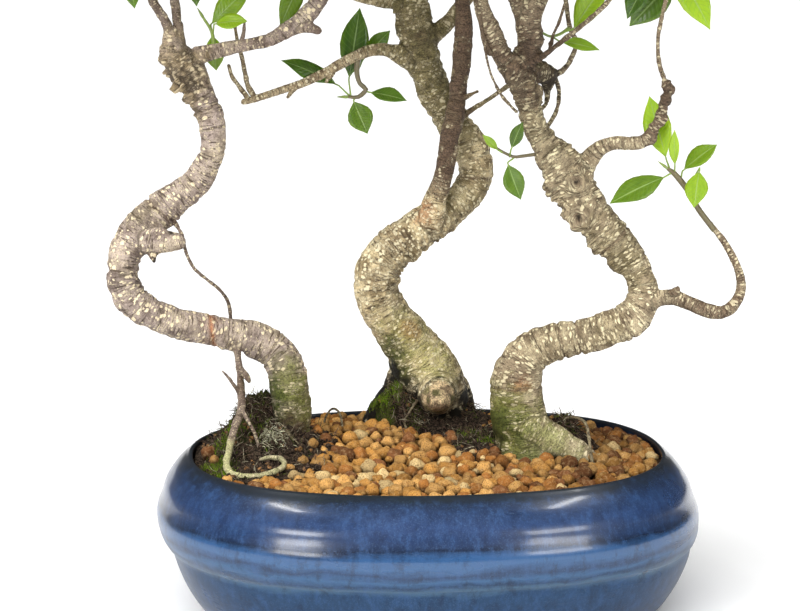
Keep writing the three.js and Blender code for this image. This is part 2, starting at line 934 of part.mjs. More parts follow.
// A mound of peat and fine roots: an oval dome with lumps, each x, y, height, spread.
function moundSolid({ x, y, halfLength, halfDepth, rise, lumps }, grow = 0) {
  const top = moundSteps.map((share) => {
    const ring = [];
    for (let i = 0; i < moundSides; i += 1) {
      const angle = (2 * Math.PI * i) / moundSides;
      const px = x + (halfLength + grow) * share * Math.cos(angle);
      const py = y + (halfDepth + grow) * share * Math.sin(angle);
      const lump = lumps.reduce((sum, [lx, ly, height, spread]) =>
        sum + height * Math.exp(-((px - lx) ** 2 + (py - ly) ** 2) / (2 * spread * spread)), 0);
      const ripple = moundRipple.height
        * Math.sin(px / moundRipple.along) * Math.cos(py / moundRipple.across);
      const dome = (rise + ripple) * (1 - share * share);
      ring.push([px, py, groundHeight(px, py) + 0.5 + dome + lump]);
    }
    return ring;
  });
  const bottom = top[0].map(([px, py]) => [px, py, soilSurface - grow]);
  return solidOf(loft([bottom, ...top].map((ring) => ring.map(place))));
}

const mounds = {
  left: {
    x: -112,
    y: -5,
    halfLength: 52,
    halfDepth: 85,
    rise: 2.5,
    lumps: [[-112, 36, 17, 13], [-98, 12, 9, 20], [-129, -2, 7, 14]],
  },
  middle: {
    x: 8,
    y: 70,
    halfLength: 66,
    halfDepth: 43,
    rise: 4,
    lumps: [[-26, 60, 9, 16], [20, 52, 4, 16], [-2, 44, 3, 10]],
  },
  right: {
    x: 94,
    y: 20,
    halfLength: 22,
    halfDepth: 15,
    rise: 9,
    lumps: [[90, 18, 8, 9]],
  },
};

// The layer of clay grains: a sheet of low peaks, each ringed by hollows.
function grainLayerSolid() {
  const random = randomFrom(seed);
  const rowStep = (grainSpacing * Math.sqrt(3)) / 2;
  const columns = Math.ceil((openingHalfLength + 24) / grainSpacing);
  const rows = Math.ceil((openingHalfDepth + 24) / rowStep);
  const width = 2 * columns + 1;
  const height = 2 * rows + 1;
  const points = [];
  for (let row = -rows; row <= rows; row += 1) {
    for (let column = -columns; column <= columns; column += 1) {
      const isPeak = (column - Math.floor(row / 2) + 2 * row) % 3 === 0;
      const inset = row % 2 === 0 ? 0 : 0.5;
      const x = (column + inset) * grainSpacing + (random() - 0.5) * grainScatter;
      const y = row * rowStep + (random() - 0.5) * grainScatter;
      const rise = isPeak ? grainRise * (0.75 + 0.5 * random()) : random();
      points.push(place([x, y, groundHeight(x, y) - grainSink + rise]));
    }
  }
  const base = points.length;
  points.push(...points.map((point) => new THREE.Vector3(point.x, point.y, soilTop - 10)));
  const faces = [];
  const quad = (a, b, c, d) => faces.push([a, b, c], [a, c, d]);
  for (let row = 0; row + 1 < height; row += 1) {
    for (let column = 0; column + 1 < width; column += 1) {
      const a = row * width + column;
      const [b, c, d] = [a + 1, a + width + 1, a + width];
      const leansRight = (row - rows) % 2 === 0;
      const split = leansRight ? [[a, b, d], [b, c, d]] : [[a, b, c], [a, c, d]];
      faces.push(...split, ...split.map(([p, q, r]) => [base + p, base + r, base + q]));
    }
  }
  for (let column = 0; column + 1 < width; column += 1) {
    const far = (height - 1) * width + column;
    quad(base + column, base + column + 1, column + 1, column);
    quad(far, far + 1, base + far + 1, base + far);
  }
  for (let row = 0; row + 1 < height; row += 1) {
    const near = row * width;
    const far = near + width - 1;
    quad(near, near + width, base + near + width, base + near);
    quad(base + far, base + far + width, far + width, far);
  }
  return solidOf(closedGeometry(points, faces)).intersect(groundPrism(soilSurface));
}

function middleOf(points) {
  const sum = points.reduce((total, point) => total.add(point), new THREE.Vector3());
  return sum.divideScalar(points.length);
}

function countedOn(ring, by) {
  return ring.map((_, i) => ring[(i + by) % ring.length]);
}

// How far a ring of three has to be counted on to meet the next one without a twist:
// a twisted collar is thinner.
function turnTo(ring, next) {
  const fullness = (by) => {
    const points = [...countedOn(ring, by), ...next];
    return volumeOf(collar([0, 1, 2], [3, 4, 5], points), points);
  };
  return [0, 1, 2].reduce((best, by) => (fullness(by) > fullness(best) ? by : best));
}

// A leaf's blade: rings of left edge, keel and right edge from base to tip.
function leafRings(base, tip, width, faceTo) {
  const run = tip.clone().sub(base);
  const length = run.length();
  const ahead = run.clone().normalize();
  const facing = faceTo.clone().sub(base).normalize();
  const side = ahead.clone().cross(facing).normalize();
  const face = side.clone().cross(ahead).normalize();
  const bladeRings = bladeStations.map(([share, halfWidth, keel, lift]) => {
    const middle = base.clone()
      .addScaledVector(run, share)
      .addScaledVector(face, bladeArch * length * 4 * share * (1 - share));
    const half = (halfWidth * width) / 2;
    const edge = (sign) => middle.clone()
      .addScaledVector(side, sign * half)
      .addScaledVector(face, lift * width);
    return [edge(1), middle.clone().addScaledVector(face, -keel), edge(-1)];
  });
  return { bladeRings, ahead, face };
}

// The rings of a leaf's stalk. Where it bends sharply to the blade, it has a knee.
function stalkRings(stalkStart, base, { bladeRings, ahead, face }) {
  const knee = base.clone().addScaledVector(ahead, -kneeLength);
  const out = base.clone().sub(stalkStart).normalize();
  const bends = out.dot(ahead) < 0.5;
  const first = bends ? knee.clone().sub(stalkStart).normalize() : out;
  const places = bends ? [[stalkStart, first], [knee, first.clone().add(ahead).normalize()]]
    : [[stalkStart, first]];
  const rings = places.map(([middle, along]) => {
    const side = along.clone().cross(face).normalize();
    const top = side.clone().cross(along);
    return [1, 0, -1].map((sign) => middle.clone()
      .addScaledVector(side, sign * stalkRadius)
      .addScaledVector(top, sign === 0 ? -stalkRadius : stalkRadius / 2));
  });
  rings.push(bladeRings[0]);
  for (let i = rings.length - 2; i >= 0; i -= 1) {
    rings[i] = countedOn(rings[i], turnTo(rings[i], rings[i + 1]));
  }
  return rings.slice(0, -1);
}


// What is already standing, to keep new twigs and leaves clear of it.
const standing = [];

function boxed(solid) {
  const { min, max } = solid.boundingBox();
  return { solid, box: new THREE.Box3(new THREE.Vector3(...min), new THREE.Vector3(...max)) };
}

function isClear(solid, others) {
  const { box } = boxed(solid);
  return others.every((other) =>
    !other.box.intersectsBox(box) || other.solid.intersect(solid).volume() < 1e-6);
}

// A twig whose leaves are listed one by one, fused with them.
function placedTwig({ twig, leaves }) {
  let spray = limbSolid(twig);
  for (const [stalkStart, base, tip, width, faceTo] of leaves) {
    const end = place(tip);
    const blade = leafRings(place(base), end, width, place(faceTo));
    const stalk = stalkRings(place(stalkStart), place(base), blade);
    spray = spray.add(solidOf(pointedLoft([...stalk, ...blade.bladeRings], end)));
  }
  return spray;
}

// A ruled twig's rings: three corners, above, right and left, at its start and at
// the foot of each leaf. It sets out along its heading and bends a little upwards.
function twigRings(start, heading, length, count) {
  const up = new THREE.Vector3(0, 0, 1);
  const right = heading.clone().cross(up).normalize();
  const above = right.clone().cross(heading).normalize();
  const rings = [];
  for (let step = 0; step < count; step += 1) {
    const share = step / (count - 1);
    const middle = start.clone()
      .addScaledVector(heading, length * share)
      .addScaledVector(up, twigBend * length * share * share);
    const radius = THREE.MathUtils.lerp(...twigRadius, share);
    rings.push([90, -30, 210].map((degrees) => {
      const angle = THREE.MathUtils.degToRad(degrees);
      return middle.clone()
        .addScaledVector(right, radius * Math.cos(angle))
        .addScaledVector(above, radius * Math.sin(angle));
    }));
  }
  return { rings, right, above };
}

// Lays out one leaf of a ruled twig: it leans ahead and out to its side, and is turned
// up until it is clear of everything that stands. Null where no turn is.
function ruledLeaf(root, points, heading, frame, sign, random, own) {
  const facet = root.map((number) => points[number]);
  const foot = middleOf(facet);
  const up = new THREE.Vector3(0, 0, 1);
  const length = leafLength * (0.84 + 0.22 * random());
  const lean = sign === 0 ? 0.2 : 0.85 + 0.3 * random();
  const firstTurn = 0.15 + 0.4 * random();
  for (const turn of [0, 0.35, -0.4, 0.7, 1]) {
    const raised = sign === 0 ? Math.PI / 2 - turn : firstTurn + turn;
    const outward = frame.right.clone()
      .multiplyScalar((sign || 1) * Math.cos(raised))
      .addScaledVector(frame.above, Math.sin(raised));
    const way = heading.clone().multiplyScalar(Math.cos(lean))
      .addScaledVector(outward, Math.sin(lean)).normalize();
    const base = foot.clone().addScaledVector(way, stalkLength);
    const blade = way.clone().addScaledVector(up, -leafDroop).normalize();
    const tip = base.clone().addScaledVector(blade, length);
    if (Math.min(base.z, tip.z) < crownFloor) continue;
    const [outX, outY] = [base.x - crownMiddle[0], base.y - crownMiddle[1]];
    const outside = new THREE.Vector3(outX, outY, 0).normalize();
    const faceTo = base.clone().add(up).addScaledVector(outside, leafTilt);
    const { bladeRings } = leafRings(base, tip, leafWidthShare * length, faceTo);
    const by = turnTo(facet, bladeRings[0]);
    const solid = solidOf(pointedLoft([countedOn(facet, by), ...bladeRings], tip));
    if (isClear(solid, standing) && isClear(solid, own)) {
      return { root: countedOn(root, by), bladeRings, tip, solid };
    }
  }
  return null;
}

// A leafy twig by rule: leaves grow in turn from its right and left face, and one from
// its end, as one skin. Null where no heading finds room for it.
function ruledTwig(start, firstHeading, length, leafCount, random) {
  for (const turn of [0, 0.4, -0.4, 0.8, -0.8, 1.3, -1.3]) {
    const heading = firstHeading.clone().applyAxisAngle(new THREE.Vector3(0, 0, 1), turn);
    const { rings, ...frame } = twigRings(start, heading, length, leafCount + 1);
    const free = solidOf(loft(rings.slice(1)));
    if (!isClear(free, standing)) continue;
    const own = [boxed(free)];
    const points = rings.flat();
    const faces = [[0, 2, 1], [0, 1, 4], [0, 4, 3], [1, 2, 5], [1, 5, 4], [2, 0, 3], [2, 3, 5]];
    let leaves = 0;
    const growLeaf = (leaf) => {
      const first = points.length;
      points.push(...leaf.bladeRings.flat(), leaf.tip);
      let ring = leaf.root;
      leaf.bladeRings.forEach((_, step) => {
        const next = [0, 1, 2].map((corner) => first + 3 * step + corner);
        faces.push(...collar(ring, next, points));
        ring = next;
      });
      const tip = first + 3 * leaf.bladeRings.length;
      [0, 1, 2].forEach((corner) => faces.push([ring[corner], ring[(corner + 1) % 3], tip]));
      own.push(boxed(leaf.solid));
      leaves += 1;
    };
    for (let step = 1; step < leafCount; step += 1) {
      const [top, right, left] = [0, 1, 2].map((corner) => 3 * step + corner);
      const [nextTop, nextRight, nextLeft] = [top + 3, right + 3, left + 3];
      const sign = step % 2 === 0 ? 1 : -1;
      faces.push([right, left, nextLeft], [right, nextLeft, nextRight]);
      faces.push([top, nextRight, nextTop], [left, top, nextTop]);
      const onRight = [top, right, nextRight];
      const onLeft = [nextTop, nextLeft, left];
      const root = sign > 0 ? onRight : onLeft;
      faces.push(sign > 0 ? onLeft : onRight);
      const leaf = ruledLeaf(root, points, heading, frame, sign, random, own);
      if (leaf) growLeaf(leaf);
      else faces.push(root);
    }
    const last = 3 * leafCount;
    const endCap = [last + 1, last + 2, last];
    const leaf = ruledLeaf(endCap, points, heading, frame, 0, random, own);
    if (leaf) growLeaf(leaf);
    else faces.push(endCap);
    if (leaves >= leafCount - 2) return solidOf(closedGeometry(points, faces));
  }
  return null;
}

const plant = new THREE.Group();

function addPiece(name, solid, material) {
  const mesh = new THREE.Mesh(geometryOf(solid), material);
  mesh.name = name;
  plant.add(mesh);
}

const trees = [
  { name: "left", tree: leftTree, bark: materials.greyBark },
  { name: "middle", tree: middleTree, bark: materials.oliveBark },
  { name: "right", tree: rightTree, bark: materials.brownBark },
].map((entry) => ({
  ...entry,
  solid: treeSolid(entry.tree),
  grown: treeSolid(entry.tree, clearance + 0.05),
}));

// The main body of a solid once the trees' wood is cut out of it with a small gap.
function clearOfTrees(solid) {
  return mainBody(trees.reduce((rest, { grown }) => rest.subtract(grown), solid));
}

addPiece("pot", potSolid(), materials.glaze);

const soilProfile = [
  [floorTop + clearance, insideProfile[0][1]],
  ...insideProfile.slice(1, -1),
  [soilTop, soilEdge],
];
let soil = ovalSolid(soilProfile, clearance + 0.1, ovalSides / 2);
for (const [side, x] of [["left", -drainHole.x], ["right", drainHole.x]]) {
  addPiece(`drain_mesh_${side}`, drainMeshSolid(x), materials.plastic);
  soil = soil.subtract(drainMeshRoom(x));
}
addPiece("soil", clearOfTrees(soil), materials.soil);

const aboveSoil = groundPrism(soilSurface);
let grains = grainLayerSolid();
for (const [name, shape] of Object.entries(mounds)) {
  addPiece(`root_mound_${name}`, clearOfTrees(moundSolid(shape).intersect(aboveSoil)), materials.peat);
  grains = grains.subtract(moundSolid(shape, clearance));
}
addPiece("clay_grains", clearOfTrees(grains), materials.grains);

for (const { name, solid, bark, grown } of trees) {
  addPiece(`tree_${name}`, solid, bark);
  standing.push(boxed(grown));
}

const placedTwigs = {
  hanging_twig: hangingTwig,
  stem_twig: stemTwig,
  low_right_twig: lowRightTwig,
  green_shoot: greenShoot,
  young_shoot: youngShoot,
  high_right_twig: highRightTwig,
  gold_twig: goldTwig,
  left_tip_twig: leftTipTwig,
  far_left_twig: farLeftTwig,
};
for (const [name, twig] of Object.entries(placedTwigs)) {
  const body = clearOfTrees(placedTwig(twig));
  standing.push(boxed(body));
  addPiece(name, body, materials.leaf);
}

// Ruled twigs: one carries on from each crown limb's end, and others stand to its side,
// wherever there is room.
const random = randomFrom(seed);
for (const { name, tree, grown } of trees) {
  let number = 0;
  tree.tips.forEach((limb, index) => {
    const points = tree.wood[limb];
    const [before, end] = points.slice(-2).map(place);
    const ahead = end.clone().sub(before).normalize();
    const turn = index % 2 === 0 ? 1.1 : -1.1;
    const aside = ahead.clone().applyAxisAngle(new THREE.Vector3(0, 0, 1), turn);
    const starts = [
      [end.clone().addScaledVector(ahead, clearance + 0.1), ahead],
      [before, aside],
    ];
    starts.slice(0, tree.sideTwigs.includes(limb) ? 2 : 1).forEach(([start, heading]) => {
      const spray = ruledTwig(start, heading, twigLength, leavesPerTwig, random);
      if (!spray) return;
      number += 1;
      const body = mainBody(spray.subtract(grown));
      standing.push(boxed(body));
      addPiece(`${name}_leafy_twig_${number}`, body, materials.leaf);
    });
  });
}

// The origin lies under the middle of the whole planting, on what the feet stand on.
plant.position.set(-plantingMiddle[0], -plantingMiddle[1], 0);

export default plant;
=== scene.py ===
"""A ficus planting in an oval glazed pot: its looks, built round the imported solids.

Lists are millimetres, as seen from the front of the planting: x right, y away, z up.
front() turns them into the part's frame, and every mesh becomes metres when it is made.
"""
import math

import bpy
import numpy as np
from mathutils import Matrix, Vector, kdtree


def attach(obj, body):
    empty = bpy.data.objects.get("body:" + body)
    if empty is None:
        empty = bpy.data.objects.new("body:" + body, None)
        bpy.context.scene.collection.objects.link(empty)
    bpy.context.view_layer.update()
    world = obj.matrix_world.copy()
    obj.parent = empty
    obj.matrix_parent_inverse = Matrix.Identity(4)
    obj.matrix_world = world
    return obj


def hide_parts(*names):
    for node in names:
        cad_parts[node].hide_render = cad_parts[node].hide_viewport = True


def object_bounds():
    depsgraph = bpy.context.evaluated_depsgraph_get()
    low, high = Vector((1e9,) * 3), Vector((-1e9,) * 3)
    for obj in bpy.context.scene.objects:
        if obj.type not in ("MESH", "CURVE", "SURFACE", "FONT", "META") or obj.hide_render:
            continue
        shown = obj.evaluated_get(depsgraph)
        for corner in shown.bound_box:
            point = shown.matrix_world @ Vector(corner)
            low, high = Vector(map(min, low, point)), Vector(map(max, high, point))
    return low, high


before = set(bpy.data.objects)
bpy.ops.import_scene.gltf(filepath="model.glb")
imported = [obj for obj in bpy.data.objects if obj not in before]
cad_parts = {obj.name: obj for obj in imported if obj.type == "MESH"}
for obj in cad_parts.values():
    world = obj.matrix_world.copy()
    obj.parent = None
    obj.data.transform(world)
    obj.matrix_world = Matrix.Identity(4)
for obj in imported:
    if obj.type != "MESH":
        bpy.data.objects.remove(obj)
cad_box = [list(corner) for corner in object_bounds()]
rng = np.random.default_rng(11)

MM = 0.001
FULL_TURN = 6.28
THREE_WAYS = (0.0, 2.094, 4.189)
# How the front of the planting is turned and shifted in the part's frame.
FRONT_TURN = -0.089
PLANTING_SHIFT = (6, -11)
# Where the trunks end in the soil.
ROOT_DEPTH = 82
# The pot's opening: an oval with rather square ends.
HALF_LENGTH, HALF_DEPTH, OVAL_POWER = 152.8, 120.7, 2.34
POT_SIDES = 160
DRAIN_HOLES_X, HOLE_RADIUS, HOLE_SIDES = (-62, 62), 12, 40
FEET_X, FEET_Y = (-92, 92), (-66, 66)
FOOT_HALF_LENGTH, FOOT_HALF_DEPTH, FOOT_CORNER, FOOT_SIDES = 26, 12, 5, 32
# How far the wet clay's lower wall slumped to the right.
SLUMP = 3.0
GROUND_AT_WALL = 98.6
MOUND_FOOT = 95.6
# Grains may overlap a little, and keep this far from the wall.
GRAIN_SPACING, GRAIN_WALL_GAP = 0.86, 0.6
CRUMBS_PER_AREA, STRANDS_PER_AREA, TUFTS_PER_REACH = 0.22, 0.16, 44
LICHEN_PLACE, LICHEN_STRANDS = (-99, -7), 260
# The crown's added leaves all hang above this height.
LEAVES_ABOVE = 402
LEAF_THICKNESS, EDGE_THICKNESS = 0.34, 0.02
# The widest ring of a solid leaf, as a share of the leaf's width.
RING_SHARE = 0.86
# The rings of a solid twig are farther apart than this.
RING_GAP = 2.2
CREASES_PER_MM = 0.16
BARK_VOXEL = 1.3
# Each limb's bark takes its grain from a stretch of its own, so far along.
LIMB_STRETCH, TWIG_STRETCH = 137.0, 211.0
# Limbs and stubs at least this thick grow out of the trunk's own skin.
THICK_LIMB, THICK_STUB = 2.9, 2.2

# Each limb is a list of points along its middle, x, y, z and radius.
LEFT_TREE = {
    "trunk": [
        (-90, 20, ROOT_DEPTH, 13.3), (-90, 20, 106, 13.3), (-90, 20, 123, 13.3),
        (-90, 20, 139, 12.9), (-93, 22, 155, 12.6), (-102, 24, 168, 12.3), (-116, 22, 175, 12),
        (-131, 18, 179, 10.9), (-146, 12, 183, 10.2), (-162, 6, 187, 10.1), (-177, 2, 194, 10.4),
        (-190, 0, 203, 10.7), (-197, 0, 215, 11), (-197, 0, 227, 10.7), (-194, 2, 238, 11.3),
        (-186, 6, 249, 12.8), (-174, 10, 261, 12.3), (-163, 12, 270, 10.7), (-152, 12, 278, 9.7),
        (-144, 10, 288, 8.9), (-139, 8, 299, 8.1), (-138, 6, 309, 8.1), (-139, 6, 319, 9),
        (-142, 8, 328, 9), (-147, 10, 338, 10), (-153, 12, 348, 12), (-160, 12, 358, 11.3),
        (-163, 10, 367, 8.3), (-164, 8, 376, 5.6),
    ],
    "up_left": [
        (-163, 9, 370, 4.6), (-168, 4, 385, 3.1), (-175, -2, 398, 2.8), (-180, -8, 412, 2.5),
        (-186, -16, 432, 2.2), (-184, -26, 452, 1.8),
    ],
    "up": [
        (-158, 12, 360, 4.8), (-160, 10, 380, 3.2), (-162, 14, 397, 2.8), (-164, 20, 413, 2.6),
        (-168, 30, 435, 2.2), (-160, 44, 458, 1.8),
    ],
    "right": [
        (-155, 13, 358, 6.4), (-143, 12, 363, 5.5), (-126, 12, 367, 4.5), (-114, 12, 369, 4.2),
        (-101, 12, 372, 4.4), (-90, 12, 378, 5.2), (-80, 14, 385, 6.1), (-72, 15, 394, 5.8),
        (-65, 16, 404, 5), (-58, 13, 420, 4.4), (-54, 3, 438, 3.6), (-62, -10, 458, 2.8),
        (-70, -22, 476, 1.9),
    ],
    "right_stub": [(-84, 12, 380, 4.5), (-76, 10, 380, 3.5), (-70, 8, 378, 2.9)],
    "burl_stub": [(-182, 6, 243, 7.8), (-169, 2, 243, 4.9), (-159, -2, 243, 3.6)],
    "hanging_root": [
        (-167, 8, 258, 1.9), (-159, 1, 249, 1.3), (-157, 0, 239, 1.2), (-152, 2, 226, 1.1),
        (-144, 8, 217, 1.1), (-135, 18, 207, 1.1), (-131, 30, 196, 1.2), (-129, 33, 176, 1.3),
        (-127, 22, 168, 1.5),
    ],
    "ground_root": [
        (-125, 15, 170, 2.4), (-123, 8, 158, 2.2), (-122, 2, 148, 2.6), (-121, -4, 137, 2.7),
        (-122, -10, 130, 2.7), (-125, -22, 122, 2.6), (-127, -34, 113, 2.4), (-128, -47, 106, 2.2),
        (-124, -58, 102.5, 2.2), (-113, -63, 102, 2), (-101, -60, 103, 1.9), (-92, -50, 105, 1.8),
        (-93, -38, 107, 1.7), (-101, -32, 107, 1.5), (-107, -34, 106, 1.3),
    ],
    "root_fork": [
        (-121, -8, 133, 2.2), (-116, -12, 126, 1.3), (-112, -14, 119, 1.2), (-109, -14, 108, 1.1),
    ],
    "crown_back": [(-58, 13, 420, 3.6), (-68, 34, 436, 3), (-86, 52, 450, 2.3), (-104, 66, 460, 1.7)],
    "crown_front": [(-54, 3, 438, 3.2), (-38, -20, 451, 2.5), (-26, -46, 458, 1.8)],
    "crown_far_left": [(-180, -8, 412, 2.3), (-191, -32, 424, 1.9), (-190, -58, 434, 1.5)],
    "crown_left_back": [(-186, -16, 432, 2), (-200, 6, 446, 1.7), (-206, 28, 454, 1.4)],
    "crown_middle": [
        (-164, 20, 413, 2.4), (-151, -2, 428, 2.1), (-139, -26, 440, 1.8), (-130, -50, 447, 1.5),
    ],
    "crown_top": [
        (-168, 30, 435, 2.1), (-150, 34, 450, 1.9), (-134, 22, 464, 1.7), (-120, 8, 474, 1.4),
    ],
}
MIDDLE_TREE = {
    "trunk": [
        (15, 62, ROOT_DEPTH, 15), (15, 62, 102, 15), (11, 62, 123, 18.4), (3, 62, 141, 22),
        (-7, 62, 156, 20), (-16, 60, 170, 17.3), (-25, 58, 183, 15.9), (-32, 56, 195, 15.2),
        (-34, 54, 207, 14.8), (-31, 52, 219, 14.7), (-23, 52, 229, 14.7), (-12, 52, 238, 14.4),
        (-2, 54, 245, 14.2), (8, 56, 251, 13.2), (19, 58, 258, 11.5), (27, 60, 266, 11.1),
        (32, 62, 275, 11.7), (33, 63, 286, 12.1), (29, 64, 298, 12.4), (21, 65, 310, 12),
        (12, 64, 323, 11.4), (5, 62, 336, 11.3), (0, 60, 349, 11.6), (-4, 58, 362, 12.3),
        (-7, 57, 376, 12.2), (-9, 56, 389, 11.6), (-10, 55, 402, 10.2), (-12, 52, 418, 8.4),
        (-8, 48, 434, 6.8), (-14, 42, 452, 5), (-10, 36, 470, 3.4), (-14, 30, 486, 2.2),
    ],
    "cut_knob": [(6, 60, 143, 12.9), (8, 44, 135, 13.1), (8, 34, 133, 12), (8, 28, 132, 8.7)],
    "left_root": [
        (-10, 64, 150, 13), (-20, 66, 131, 9.5), (-29, 70, 117, 9.5), (-35, 74, 100, 10.5),
        (-35, 74, 88, 10),
    ],
    "right_root": [(13, 74, 142, 9), (21, 74, 130, 9), (25, 76, 116, 9), (26, 78, 88, 9)],
    "front_stem": [
        (3, 46, 250, 9.3), (5, 42, 262, 8.3), (10, 40, 277, 6.5), (13, 38, 291, 6.3),
        (15, 37, 305, 6.2), (18, 37, 318, 6.6), (20, 38, 331, 5.7), (21, 38, 344, 5.7),
        (23, 38, 357, 6.3), (24, 38, 370, 6.5), (24, 38, 383, 5.9), (23, 40, 396, 4.6),
        (21, 42, 409, 3.9), (17, 34, 424, 3.5), (12, 18, 438, 3), (8, -4, 450, 2.4),
        (2, -28, 460, 1.8),
    ],
    "front_stem_twig": [(21, 38, 319, 2.6), (36, 44, 328, 1.5), (46, 50, 334, 1.5), (58, 58, 341, 1.3)],
    "long_left": [
        (-7, 57, 355, 8.6), (-18, 52, 360, 6.6), (-26, 50, 363, 4.6), (-36, 48, 363, 3.9),
        (-45, 46, 360, 3.7), (-55, 44, 355, 3.5), (-68, 42, 348, 3.3), (-81, 40, 342, 3),
        (-94, 38, 338, 2.8), (-106, 36, 334, 2.6), (-120, 34, 330, 2.2),
    ],
    "long_left_end_twig": [
        (-112, 35, 332, 2.2), (-117, 37, 340, 1.9), (-119, 38, 349, 1.6), (-121, 38, 359, 1.4),
        (-124, 36, 372, 1.1), (-126, 34, 387, 1), (-129, 30, 402, 1),
    ],
    "long_left_fork": [
        (-117, 35, 332, 2), (-123, 32, 341, 1.6), (-127, 30, 347, 1.4), (-129, 29, 354, 1.3),
    ],
    "right_arm": [
        (0, 58, 368, 7), (13, 62, 379, 5.3), (21, 66, 388, 5), (29, 70, 399, 4.7),
        (38, 74, 414, 4.2), (48, 74, 430, 3.4), (56, 70, 446, 2.6), (58, 62, 462, 1.8),
    ],
    "upper_left": [
        (-9, 56, 393, 7.3), (-20, 52, 395, 6.2), (-33, 46, 397, 5.6), (-48, 41, 401, 5.1),
        (-64, 38, 408, 4.2), (-84, 38, 418, 3.3), (-102, 34, 430, 2.6), (-112, 34, 444, 1.8),
    ],
    "crown_front_left": [
        (-64, 38, 408, 3.4), (-74, 12, 416, 2.8), (-82, -12, 424, 2.3), (-88, -38, 430, 1.7),
    ],
    "crown_back_left": [
        (-12, 52, 418, 5), (-30, 66, 430, 3.6), (-52, 82, 442, 2.8), (-74, 96, 450, 1.8),
    ],
    "crown_back": [(-8, 48, 434, 4), (8, 68, 444, 3.2), (20, 88, 452, 2.4), (26, 106, 456, 1.7)],
    "crown_top_left": [(-14, 42, 452, 3.2), (-32, 24, 464, 2.4), (-46, 8, 474, 1.8)],
    "crown_front_right": [(17, 34, 424, 3), (30, 12, 436, 2.4), (37, -14, 444, 2), (36, -44, 447, 1.6)],
    "crown_right_back": [(38, 74, 414, 3.2), (54, 88, 422, 2.5), (72, 100, 430, 1.7)],
}
